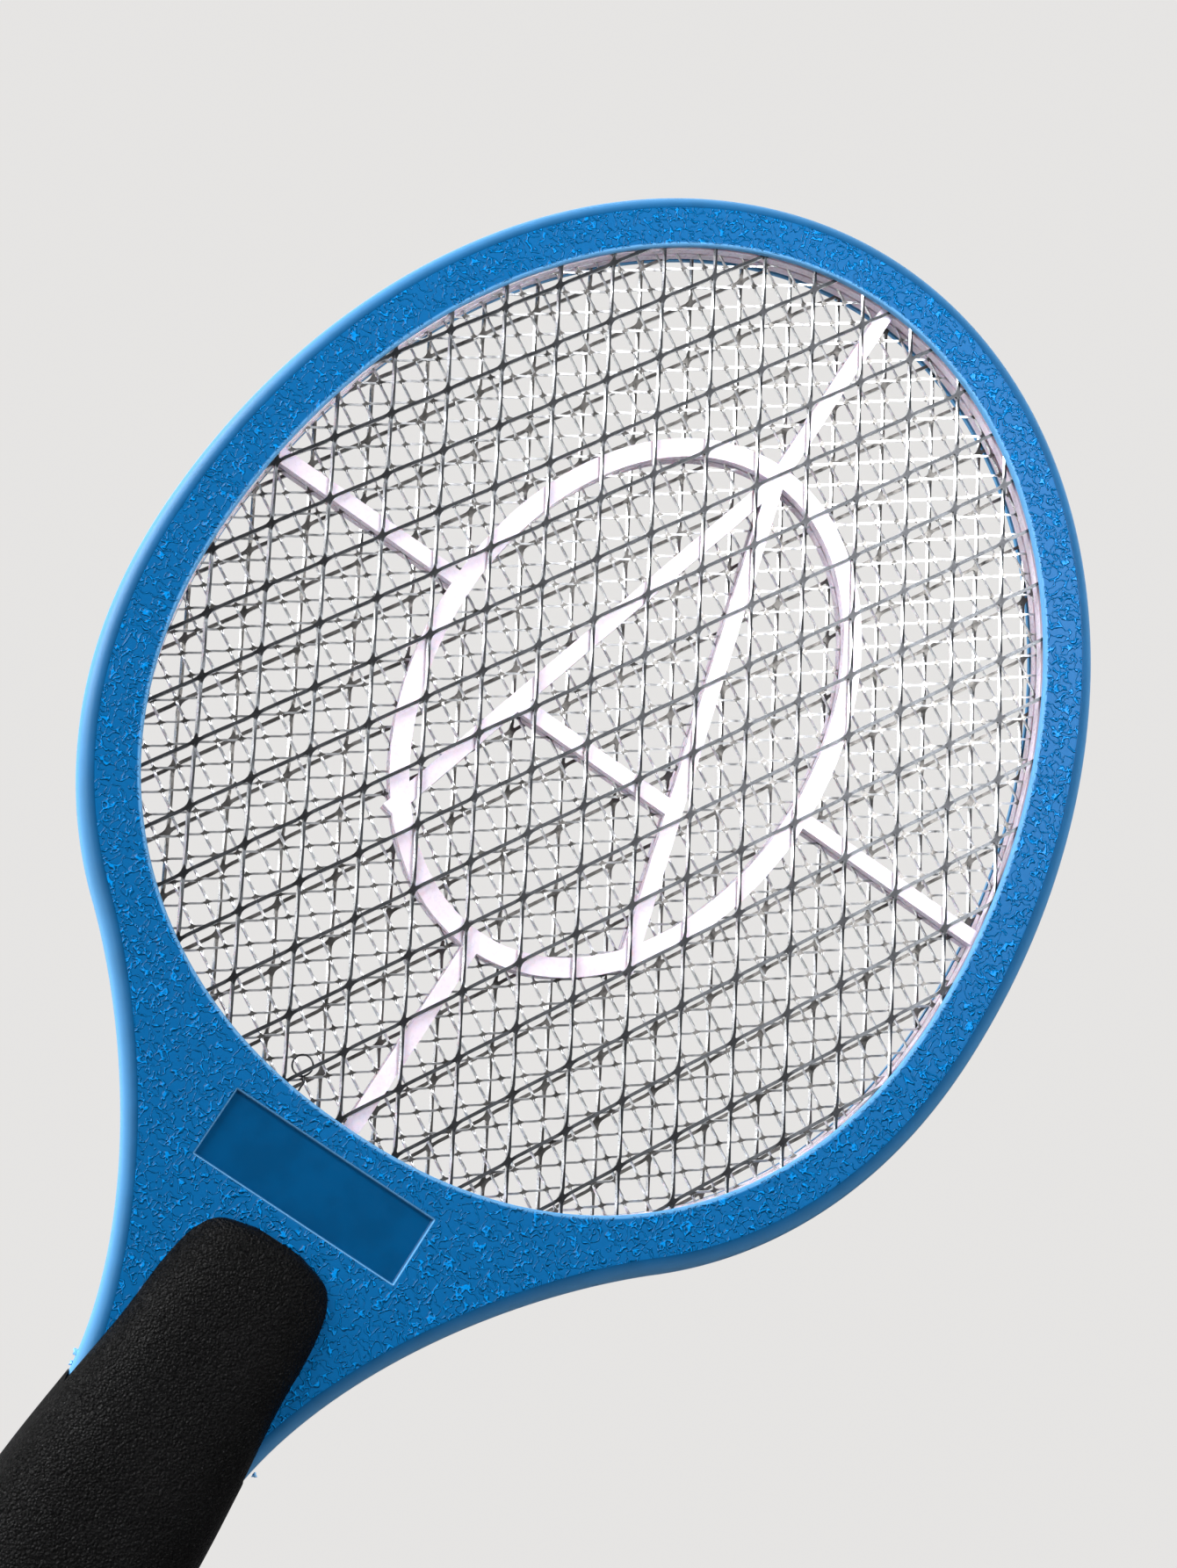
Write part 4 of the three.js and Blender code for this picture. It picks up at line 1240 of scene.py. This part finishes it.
# How each grid lies: shift of its lattice from the head's centre, and its turn.
COARSE_FRONT = ((3.0 * MM, -1.8 * MM), 0.0)
COARSE_REAR = ((-3.7 * MM, 3.6 * MM), 0.0)
FINE_MIDDLE = ((0.4 * MM, -0.9 * MM), math.radians(-3))
COARSE_LEAN = (math.radians(-8), math.radians(52))
FINE_LEAN = (math.radians(12), math.radians(40))
# How far past the opening each sheet's knuckles are kept, how near two points are welded
# and how far the sheet stays from the frame's wall.
COARSE_KEEP = 5.8 * MM
FINE_KEEP = 3 * MM
WELD = 0.01 * MM
SHEET_FIT = 0.4 * MM


def grid_sheet(name, node, sizes, lean, keep, seed, lie, steels):
    """An expanded-metal sheet: one knuckle set at each point of a lattice inside the rim."""
    (shift_x, shift_z), turn = lie
    centre = (shift_x, sum(layer(node)) / 2, centre_z() + shift_z)
    cell = knuckle(sizes, lean)
    t = Tree(name)
    short_way = t.input("Short way", "NodeSocketFloat", sizes.short_way)
    long_way = t.input("Long way", "NodeSocketFloat", sizes.long_way)
    amount = t.input("Waviness", "NodeSocketFloat", 2 * sizes.waviness)
    number = t.input("Seed", "NodeSocketFloat", float(seed))
    columns = math.ceil(FRONT_HIGH.x / sizes.short_way) + 1
    rows = math.ceil(settings("head").opening_above / sizes.long_way) + 1
    points = lattice(t, short_way, long_way, centre, (0, turn, 0), columns, rows)
    position = t.node("GeometryNodeInputPosition").outputs[0]
    outside = t.math("SUBTRACT", 1.0, inside_oval(t, position, keep))
    inputs = {"Geometry": points, "Selection": outside}
    kept = t.node("GeometryNodeDeleteGeometry", inputs).outputs[0]
    inputs = {"Geometry": t.real(t.copies(kept, cell, Rotation=(0, turn, 0))), "Distance": WELD}
    welded = t.node("GeometryNodeMergeByDistance", inputs).outputs[0]
    shown = t.paint(wavy(t, welded, amount, number), steels[0])
    for kind, steel in zip(FACE_KINDS, steels[1:]):
        shown = t.paint(shown, steel, t.stored(kind, "BOOLEAN"))
    t.end(shown)
    piece = t.make(name)
    bpy.data.objects.remove(cell)
    return trim_sheet(piece)


def trim_sheet(piece):
    """Keeps a sheet inside the frame's wall and closes its cut ends."""
    head = settings("head")
    most = head.rim_width - head.frame_wall - SHEET_FIT
    half = opening_half_width() + most
    tall, low = head.opening_above + most, head.opening_below + most
    bm = bmesh.new()
    bm.from_mesh(piece.data)
    for vert in bm.verts:
        above = vert.co.z - widest_z()
        height, power = (tall, 2) if above > 0 else (low, head.opening_fullness)
        size = ((abs(vert.co.x) / half) ** power + (abs(above) / height) ** power) ** (1 / power)
        if size > 1:
            vert.co.x /= size
            vert.co.z = widest_z() + above / size
    bmesh.ops.holes_fill(bm, edges=bm.edges, sides=4)
    bm.to_mesh(piece.data)
    bm.free()
    return smooth(piece, 35)


class SWATTER_OT_grids(bpy.types.Operator):
    """Build the three expanded-metal grids"""

    bl_idname = "swatter.grids"
    bl_label = "Grids"

    def execute(self, context):
        coarse, fine, finish = settings("coarse"), settings("fine"), settings("finish")
        wide, narrow = coarse.strand, fine.strand
        # The cut material paints a highlight on the strands' slit edges, besides fresh-cut steel's
        # brightness; the coarse rolled faces' dark steel is partly a painted dark reflection.
        cut = grid_steel("grid_steel_coarse_cut", wide, finish.cut_steel_highlight, 0.24)
        worn = grid_steel("grid_steel_rear", wide, finish.worn_steel, 0.38)
        front = (
            grid_steel("grid_steel_coarse", wide, finish.steel, 0.34),
            cut,
            grid_steel("grid_steel_coarse_web", wide, finish.dark_steel, 0.34),
        )
        inner = (
            grid_steel("grid_steel_fine", narrow, finish.fine_steel, 0.3),
            grid_steel("grid_steel_fine_cut", narrow, finish.cut_steel_highlight, 0.24),
            grid_steel("grid_steel_fine_web", narrow, finish.worn_steel, 0.3),
        )
        for name, sizes, lean, keep, seed, lie, steels in (
            ("front", coarse, COARSE_LEAN, COARSE_KEEP, 1, COARSE_FRONT, front),
            ("rear", coarse, COARSE_LEAN, COARSE_KEEP, 2, COARSE_REAR, (worn, cut, worn)),
            ("middle", fine, FINE_LEAN, FINE_KEEP, 3, FINE_MIDDLE, inner),
        ):
            node = name + "_grid"
            piece = grid_sheet(f"grid_{name}_mesh", node, sizes, lean, keep, seed, lie, steels)
            hand_over(piece, "racket", "grid_steel", node)
        return {"FINISHED"}


# ---------------------------------------------------------------- handle

# Half width, half depth and height of the handle's sections; heights below zero count
# from the tip.
HANDLE_KEYS = (
    (14.2, 10.2, 0),
    (16.6, 12.2, 0.8),
    (17.7, 13.1, 2.8),
    (18.4, 13.7, 8),
    (18.5, 14.0, 55),
    (19.4, 14.4, -118),
    (19.7, 14.0, -80),
    (18.9, 12.4, -52),
    (17.7, 10.9, -38),
    (16.2, 9.5, -24),
    (15.5, 8.5, -11),
    (14.2, 7.8, -5),
    (12.0, 7.1, -2),
    (5.8, 5.9, -0.05),
)
# Least rise from one section to the next when the outline is pulled in.
KEY_GAP = 0.3 * MM


def handle_profile(inset):
    """Sections of the handle along its length, smoothly between the keys."""
    keys = []
    for w, d, z in HANDLE_KEYS:
        height = (z * MM) if z >= 0 else HANDLE_TIP + z * MM
        height = min(max(height, inset), HANDLE_TIP - 2 * inset)
        if keys and height < keys[-1].z + KEY_GAP and inset > 0:
            continue
        keys.append(Vector((w * MM - inset, d * MM - inset, height)))
    steps = settings("handle").rings
    rings = []
    for i in range(len(keys) - 1):
        a, b = keys[max(i - 1, 0)], keys[i]
        c, d = keys[i + 1], keys[min(i + 2, len(keys) - 1)]
        for step in range(steps):
            rings.append(eased(a, b, c, d, step / steps))
    rings.append(keys[-1])
    return rings


def eased(a, b, c, d, t):
    """A point between b and c of a smooth line that also passes a and d."""
    near, far, beyond = knot_gap(a, b), knot_gap(b, c), knot_gap(c, d)
    m1 = ((c - b) / far - (c - a) / (near + far) + (b - a) / near) * far if near else c - b
    m2 = ((c - b) / far - (d - b) / (far + beyond) + (d - c) / beyond) * far if beyond else c - b
    t2, t3 = t * t, t * t * t
    from_b = b * (2 * t3 - 3 * t2 + 1) + m1 * (t3 - 2 * t2 + t)
    return from_b + c * (3 * t2 - 2 * t3) + m2 * (t3 - t2)


def knot_gap(a, b):
    """Spacing of two keys along the smooth line."""
    return (b - a).length ** 0.5


def section_point(key, angle):
    """A point of one section at an angle from +X."""
    power = settings("handle").squareness
    c, s = math.cos(angle), math.sin(angle)
    reach = (abs(c / key.x) ** power + abs(s / key.y) ** power) ** (-1 / power)
    return Vector((reach * c, reach * s, key.z))


def parting_angle(key, y):
    """Angle at which a section crosses a depth."""
    power = settings("handle").squareness
    x = key.x * (1 - min(0.999, abs(y) / key.y) ** power) ** (1 / power)
    return math.atan2(y, x)


def half_section(key, front):
    """One shell's outline in a section: the outer arc, its rounded edges and the chord."""
    sizes = settings("handle")
    y = PARTING[0] if front else PARTING[1]
    r = sizes.seam_round
    inward = -1 if front else 1
    edge = y + inward * r
    start = parting_angle(key, edge)
    first, last = (math.pi - start, math.tau + start) if front else (start, math.pi - start)
    step = (last - first) / sizes.steps
    arc = [section_point(key, first + step * i) for i in range(sizes.steps + 1)]
    corner = []
    for point in (arc[-1], arc[0]):
        toward = -1 if point.x > 0 else 1
        soft = [
            point + Vector((toward * r * 0.3, -inward * r * 0.7, 0)),
            point + Vector((toward * r, -inward * r, 0)),
        ]
        corner.append(soft)
    return arc + corner[0] + corner[1][::-1]


def loft(rings, name):
    """A closed skin over rings of as many points."""
    bm = bmesh.new()
    loops = [[bm.verts.new(p) for p in points] for points in rings]
    for a, b in zip(loops, loops[1:]):
        skirt(bm, a, b)
    bm.faces.new(loops[0])
    bm.faces.new(loops[-1])
    return object_of(mesh_of(bm, name), name)


def whole_loft(inset):
    """The handle's whole outside, or its inside when pulled in, as a tool."""
    steps = 2 * settings("handle").steps
    rings = []
    for key in handle_profile(inset):
        rings.append([section_point(key, math.tau * i / steps) for i in range(steps)])
    return loft(rings, "tool")


SCREWS = [middle(f"handle_screw_{i}") for i in (1, 2, 3)]
BUTTON = middle("push_button")
LAMP = middle("indicator_lamp")
COVER_LOW, COVER_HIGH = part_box("battery_cover")


def neck_tool():
    """The room that the neck takes between the shells."""
    fit = settings("handle").fit
    outline = head_outline(settings("head").rim_width + fit)
    return plate_tool(outline, HEAD_FRONT - fit, HEAD_BACK + fit)


# Sizes that the shells share with the parts set in them.
BUTTON_HOLE = 6.35 * MM
LAMP_HOLE = 1.75 * MM
BOSS_RADIUS = 3.3 * MM
BOSS_TOP = 8 * MM
WELL_RADIUS = 2.95 * MM
WELL_DEPTH = 1.7 * MM
COVER_EDGE = 1.1 * MM
COVER_FIT = 0.2 * MM
# Depths and a height that are safely past the handle.
FRONT_CUT = (-30 * MM, -5 * MM)
PAST_BACK = 40 * MM
BELOW_BUTT = -5 * MM


def cover_span(extra):
    """Half width, near depth and length of the battery cover's opening."""
    return COVER_HIGH.x - COVER_EDGE + extra, COVER_LOW.y - extra, COVER_HIGH.z + extra


def front_shell():
    """The handle's front shell, with holes for the button and the lamp."""
    piece = loft([half_section(key, True) for key in handle_profile(0)], "handle_front_shell")
    combine(piece, whole_loft(settings("handle").wall), "DIFFERENCE")
    combine(piece, neck_tool(), "DIFFERENCE")
    for place, radius, steps in ((BUTTON, BUTTON_HOLE, 72), (LAMP, LAMP_HOLE, 40)):
        combine(piece, rod(radius, FRONT_CUT, (place.x, place.z), steps), "DIFFERENCE")
    return smooth(piece, 30)


def rear_shell():
    """The handle's rear shell, with the cover's opening and the screws' wells."""
    piece = loft([half_section(key, False) for key in handle_profile(0)], "handle_rear_shell")
    combine(piece, whole_loft(settings("handle").wall), "DIFFERENCE")
    for screw in SCREWS:
        boss = rod(BOSS_RADIUS, (PARTING[1], BOSS_TOP), (screw.x, screw.z))
        combine(piece, boss, "UNION")
    combine(piece, neck_tool(), "DIFFERENCE")
    half, near, top = cover_span(COVER_FIT)
    combine(piece, block((-half, half), (near, PAST_BACK), (BELOW_BUTT, top)), "DIFFERENCE")
    for i, screw in enumerate(SCREWS):
        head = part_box(f"handle_screw_{i + 1}")[1].y
        well = rod(WELL_RADIUS, (head - WELL_DEPTH, PAST_BACK), (screw.x, screw.z))
        combine(piece, well, "DIFFERENCE")
    return smooth(piece, 30)


GRIP_RIDGES = 8
GRIP_START = 16 * MM
GRIP_PITCH = 2.6 * MM
GRIP_SWEEP = math.radians(30)
GRIP_STEPS = 16
RIDGE_RADIUS = 0.45 * MM
RIDGE_SINK = 0.15 * MM


def grip_ridges(material):
    """The raised bars across the back of the battery cover."""
    key = next(section for section in handle_profile(0) if section.z >= GRIP_START)
    path = []
    for i in range(GRIP_STEPS + 1):
        spot = section_point(key, math.pi / 2 + GRIP_SWEEP * (i / (GRIP_STEPS / 2) - 1))
        path.append(Vector((spot.x, spot.y - RIDGE_SINK, 0)))
    bar = tube(path, RIDGE_RADIUS, "ridge", 8)
    t = Tree("grip_ridges")
    pitch = t.input("Pitch", "NodeSocketFloat", GRIP_PITCH)
    count = t.input("Count", "NodeSocketInt", GRIP_RIDGES)
    step = t.node("ShaderNodeCombineXYZ", {2: pitch}).outputs[0]
    line = {"Count": count, "Start Location": (0, 0, GRIP_START), "Offset": step}
    row = t.node("GeometryNodeMeshLine", line).outputs[0]
    t.end(t.paint(t.real(t.copies(row, bar)), material))
    piece = t.make("grip_ridges")
    bpy.data.objects.remove(bar)
    return piece


def cover_skin(material):
    """The sliding battery cover, with its grip ridges."""
    half, near, top = cover_span(0.0)
    piece = whole_loft(0)
    combine(piece, block((-half, half), (near, PAST_BACK), (-1 * MM, top)), "INTERSECT")
    combine(piece, whole_loft(settings("handle").wall), "DIFFERENCE")
    combine(piece, grip_ridges(material), "UNION")
    piece.name = piece.data.name = "battery_door"
    return smooth(piece, 30)


class SWATTER_OT_handle(bpy.types.Operator):
    """Build the handle's two shells and the battery cover"""

    bl_idname = "swatter.handle"
    bl_label = "Handle"

    def execute(self, context):
        black = leathery_black()
        rows = (
            (front_shell(), "handle_front", "racket"),
            (rear_shell(), "handle_rear", "racket"),
            (cover_skin(black), "battery_cover", "cover"),
        )
        for piece, node, body in rows:
            hand_over(dress(piece, black), body, "handle_black", node)
        return {"FINISHED"}


# ---------------------------------------------------------------- small parts


# Radius and depth below the button's top, in millimetres, round its dome to its flange.
BUTTON_DOME = (
    (0, 0.35),
    (2.0, 0.31),
    (3.4, 0.16),
    (4.3, 0.02),
    (4.9, 0.08),
    (5.5, 0.4),
    (5.85, 0.85),
    (6, 1.5),
    (6, 4.0),
)
BUTTON_FLANGE = 0.9 * MM
BUTTON_STEM = 2 * MM


def push_button():
    """The domed button with its flange and the stem behind it."""
    low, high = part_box("push_button")
    profile = scaled(BUTTON_DOME, low.y)
    flange = profile[-1][1]
    back = flange + BUTTON_FLANGE
    profile += [(high.x, flange), (high.x, back), (BUTTON_STEM, back)]
    profile += [(BUTTON_STEM, high.y), (0, high.y)]
    return smooth(turned(profile, (BUTTON.x, BUTTON.z), 72, "power_button"), 40)


# Radius and depth below the lamp's tip, in millimetres, down to its collar.
LAMP_DOME = ((0, 0), (0.6, 0.08), (1.05, 0.42), (1.38, 0.95), (1.5, 1.6), (1.5, 3.9))
LAMP_BASE = 4.9 * MM
LEG_APART = 0.9 * MM
LEG_HALF = 0.25 * MM
LEG_SINK = 0.5 * MM


def lamp_lens():
    """The indicator's lens on its two legs."""
    low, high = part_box("indicator_lamp")
    base = low.y + LAMP_BASE
    profile = scaled(LAMP_DOME, low.y)
    profile += [(high.x, profile[-1][1]), (high.x, base), (0, base)]
    piece = turned(profile, (LAMP.x, LAMP.z), 40, "lamp_lens")
    if high.y > base:
        for x in (LAMP.x - LEG_APART, LAMP.x + LEG_APART):
            span_x = (x - LEG_HALF, x + LEG_HALF)
            span_z = (LAMP.z - LEG_HALF, LAMP.z + LEG_HALF)
            combine(piece, block(span_x, (base - LEG_SINK, high.y), span_z), "UNION")
    return smooth(piece, 40)


# Specks of moulding flash on the frame's edge: across and up from the head's centre,
# and size.
FLASH = (
    (-18.0 * MM, -149.5 * MM, 1.1 * MM),
    (-17.6 * MM, -151.4 * MM, 0.8 * MM),
    (18.6 * MM, -150.6 * MM, 0.8 * MM),
    (37.6 * MM, -106.3 * MM, 0.6 * MM),
    (45.6 * MM, -98.0 * MM, 0.7 * MM),
)


def flash_specks():
    """Small ragged specks of flash left on the frame's edge."""
    bm = bmesh.new()
    up = head_centre().z
    for number, (x, z, size) in enumerate(FLASH):
        made = bmesh.ops.create_icosphere(bm, subdivisions=2, radius=size / 2)
        for vert in made["verts"]:
            a, b = math.atan2(vert.co.z, vert.co.x), vert.co.y / size
            ragged = 1 + 0.3 * math.sin(3 * a + number) + 0.25 * math.sin(5 * a - 7 * b)
            vert.co = Vector((x, SEAM[0], up + z)) + vert.co * ragged
    return smooth(object_of(mesh_of(bm, "frame_flash"), "frame_flash"), 50)


class SWATTER_OT_flash(bpy.types.Operator):
    """Add the specks of moulding flash on the frame's edge"""

    bl_idname = "swatter.flash"
    bl_label = "Moulding flash"

    def execute(self, context):
        light = plain_finish("frame_flash", settings("finish").blue_light, 0.4)
        hand_over(dress(flash_specks(), light), "racket", "frame_blue")
        return {"FINISHED"}


class SWATTER_OT_controls(bpy.types.Operator):
    """Build the push button and the indicator lamp"""

    bl_idname = "swatter.controls"
    bl_label = "Button and lamp"

    def execute(self, context):
        finish = settings("finish")
        blue = plain_finish("button_blue", shade(finish.blue, 0.9), 0.3)
        red = plain_finish("lamp_red", (0.55, 0.02, 0.015), 0.14, transmission=0.35)
        rows = (
            (push_button(), blue, "push_button", "button", "button_blue"),
            (lamp_lens(), red, "indicator_lamp", "racket", "lamp_red"),
        )
        for piece, material, node, body, slot in rows:
            hand_over(dress(piece, material), body, slot, node)
        return {"FINISHED"}


# Radius and depth in millimetres of a screw's head, and of a shank one millimetre long.
SCREW_HEAD = (
    (0, 0),
    (1.2, -0.05),
    (2.0, -0.22),
    (2.45, -0.55),
    (2.6, -0.9),
    (2.6, -1.6),
    (1.3, -1.95),
    (0, -1.95),
)
SCREW_SHANK = ((0, 0), (1.3, 0), (1.3, -0.92), (0.9, -1), (0, -1))
SHANK_START = 1.6
CROSS_ARM = 1.35 * MM
CROSS_HALF = 0.3 * MM
CROSS_DEPTH = 0.95 * MM


def screw_head():
    """A domed screw head with a cross recess; its top is at the origin, facing +Y."""
    piece = turned(scaled(SCREW_HEAD), (0, 0), 48, "screw_head")
    for x, z in ((CROSS_ARM, CROSS_HALF), (CROSS_HALF, CROSS_ARM)):
        combine(piece, block((-x, x), (-CROSS_DEPTH, 1 * MM), (-z, z)), "DIFFERENCE")
    return smooth(piece, 30)


def point_mesh(places, lengths):
    """Loose points with a length at each."""
    mesh = bpy.data.meshes.new("places")
    mesh.from_pydata(places, [], [])
    mesh.attributes.new("reach", "FLOAT", "POINT").data.foreach_set("value", lengths)
    return object_of(mesh, "places")


def place_screws(material):
    """The three handle screws: a head and a stretched shank at each place."""
    boxes = [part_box(f"handle_screw_{i}") for i in (1, 2, 3)]
    tops = [((low.x + high.x) / 2, high.y, (low.z + high.z) / 2) for low, high in boxes]
    head, shank = screw_head(), turned(scaled(SCREW_SHANK), (0, 0), 24, "screw_shank")
    places = point_mesh(tops, [(high.y - low.y) / MM - SHANK_START for low, high in boxes])
    t = Tree("handle_screws")
    drop = t.input("Shank below top", "NodeSocketFloat", -SHANK_START * MM)
    points = t.node("GeometryNodeMeshToPoints", {"Mesh": t.shape(places)}).outputs[0]
    reach = t.stored("reach", "FLOAT")
    stretch = t.node("ShaderNodeCombineXYZ", {0: 1.0, 1: reach, 2: 1.0}).outputs[0]
    shift = t.node("ShaderNodeCombineXYZ", {1: drop}).outputs[0]
    parts = t.node("GeometryNodeJoinGeometry")
    shanks = t.copies(t.moved(points, shift), shank, Scale=stretch)
    for part in (t.copies(points, head), shanks):
        t.tree.links.new(part, parts.inputs[0])
    t.end(t.paint(t.real(parts.outputs[0]), material))
    piece = t.make("handle_screws")
    for tool in (head, shank, places):
        bpy.data.objects.remove(tool)
    return piece


class SWATTER_OT_screws(bpy.types.Operator):
    """Set the three screws of the handle"""

    bl_idname = "swatter.screws"
    bl_label = "Screws"

    def execute(self, context):
        steel = plain_finish("screw_steel", (0.42, 0.43, 0.45), 0.3, 1.0, 0.8 * MM)
        nodes = ("handle_screw_1", "handle_screw_2", "handle_screw_3")
        hand_over(place_screws(steel), "racket", "screw_steel", *nodes)
        return {"FINISHED"}


# Where the eye's wire starts, its steps to a turn, and how it laps over its own start.
EYE_START = math.radians(-60)
EYE_STEPS = 40
EYE_EXTRA = 4
EYE_GROWTH = 0.12
TAIL_SWAY = 0.5 * MM


def lead_eye():
    """The wire eye on the middle grid, with its tail twisted down to the rim."""
    low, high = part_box("middle_lead_eye")
    radius = (high.y - low.y) / 2
    centre = (low + high) / 2
    ring_radius = (high.x - low.x) / 2 - radius
    path = []
    for i in range(EYE_STEPS + EYE_EXTRA + 1):
        turn = EYE_START - math.tau * i / EYE_STEPS
        grow = 1.0 + EYE_GROWTH * max(0, i - EYE_STEPS + EYE_EXTRA) / (2 * EYE_EXTRA)
        spot = Vector((math.cos(turn), 0, math.sin(turn))) * ring_radius * grow
        path.append(centre + spot)
    out = path[0] - centre
    tail = []
    for reach in (1.6, 1.1, 0.55, 0.2):
        sway = Vector((TAIL_SWAY * math.sin(3 * reach), 0, 0))
        tail.append(path[0] + out * reach + sway)
    return smooth(tube(tail + path, radius, "lead_eye"), 60)


class SWATTER_OT_eye(bpy.types.Operator):
    """Build the small wire eye on the middle grid"""

    bl_idname = "swatter.eye"
    bl_label = "Lead eye"

    def execute(self, context):
        wire = plain_finish("eye_steel", (0.06, 0.062, 0.066), 0.28, 1.0, 0.6 * MM)
        hand_over(dress(lead_eye(), wire), "racket", "contact_steel", "middle_lead_eye")
        return {"FINISHED"}


# Colour, roughness and metal share of each finish inside the handle.
INSIDE_FINISHES = {
    "board_green": ((0.02, 0.14, 0.045), 0.4, 0.0),
    "ferrite_grey": ((0.03, 0.03, 0.032), 0.6, 0.0),
    "winding_tape": ((0.62, 0.42, 0.03), 0.4, 0.0),
    "capacitor_brown": ((0.30, 0.05, 0.015), 0.3, 0.0),
    "capacitor_blue": ((0.03, 0.16, 0.42), 0.35, 0.0),
    "component_black": ((0.012, 0.012, 0.013), 0.4, 0.0),
    "resistor_tan": ((0.52, 0.36, 0.18), 0.45, 0.0),
    "cell_wrap": ((0.03, 0.09, 0.05), 0.25, 0.0),
    "spring_steel": ((0.55, 0.56, 0.58), 0.26, 1.0),
    "wire_red": ((0.42, 0.015, 0.01), 0.4, 0.0),
    "wire_black": ((0.01, 0.01, 0.01), 0.4, 0.0),
    "wire_white": ((0.70, 0.70, 0.70), 0.4, 0.0),
}

# The pieces that have each finish.
INSIDE_NODES = {
    "board_green": ("circuit_board",),
    "ferrite_grey": ("transformer_core",),
    "winding_tape": ("transformer_winding",),
    "capacitor_brown": ("high_voltage_capacitor",),
    "capacitor_blue": ("multiplier_capacitor_1", "multiplier_capacitor_2"),
    "component_black": (
        "rectifier_diode_1",
        "rectifier_diode_2",
        "rectifier_diode_3",
        "switching_transistor",
        "switch_body",
    ),
    "resistor_tan": ("switch_plunger", "base_resistor", "bleed_resistor"),
    "cell_wrap": ("battery_cell_1", "battery_cell_2"),
    "spring_steel": (
        "cell_spring_1",
        "cell_spring_2",
        "contact_bridge",
        "positive_contact",
        "negative_contact",
    ),
    "wire_red": ("middle_grid_lead", "positive_battery_lead"),
    "wire_black": ("front_grid_lead", "negative_battery_lead"),
    "wire_white": ("rear_grid_lead",),
}


class SWATTER_OT_inside(bpy.types.Operator):
    """Finish the pieces inside the handle"""

    bl_idname = "swatter.inside"
    bl_label = "Inside pieces"

    def execute(self, context):
        for key, (color, roughness, metallic) in INSIDE_FINISHES.items():
            finish = plain_finish("inside_" + key, color, roughness, metallic)
            for node in INSIDE_NODES[key]:
                mesh = bpy.data.objects[node].data
                mesh.materials.clear()
                mesh.materials.append(finish)
        return {"FINISHED"}


# ---------------------------------------------------------------- panel and run

OPERATORS = (
    SWATTER_OT_stage,
    SWATTER_OT_frame,
    SWATTER_OT_spacers,
    SWATTER_OT_grids,
    SWATTER_OT_handle,
    SWATTER_OT_flash,
    SWATTER_OT_controls,
    SWATTER_OT_screws,
    SWATTER_OT_eye,
    SWATTER_OT_inside,
)


class SWATTER_PT_panel(bpy.types.Panel):
    """Sizes, colours and building steps of the fly swatter"""

    bl_label = "Fly swatter"
    bl_idname = "SWATTER_PT_panel"
    bl_space_type = "VIEW_3D"
    bl_region_type = "UI"
    bl_category = "Fly swatter"

    def draw(self, context):
        layout = self.layout
        for operator in OPERATORS:
            layout.operator(operator.bl_idname)
        for name, group in GROUPS.items():
            box = layout.box()
            box.label(text=group.__doc__)
            for key in group.__annotations__:
                box.prop(getattr(context.scene, name), key)


def register():
    """Registers the settings, the building steps and the panel."""
    for group in GROUPS.values():
        bpy.utils.register_class(group)
    for operator in OPERATORS:
        bpy.utils.register_class(operator)
    bpy.utils.register_class(SWATTER_PT_panel)
    for name, group in GROUPS.items():
        setattr(bpy.types.Scene, name, PointerProperty(type=group))


def unregister():
    """Takes away the panel, the building steps and the settings."""
    for name in GROUPS:
        delattr(bpy.types.Scene, name)
    bpy.utils.unregister_class(SWATTER_PT_panel)
    for group in (*OPERATORS, *GROUPS.values()):
        bpy.utils.unregister_class(group)


def main():
    """Builds everything."""
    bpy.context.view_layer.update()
    register()
    for operator in OPERATORS:
        name = operator.bl_idname.split(".")[1]
        getattr(bpy.ops.swatter, name)()


if __name__ == "__main__":
    main()
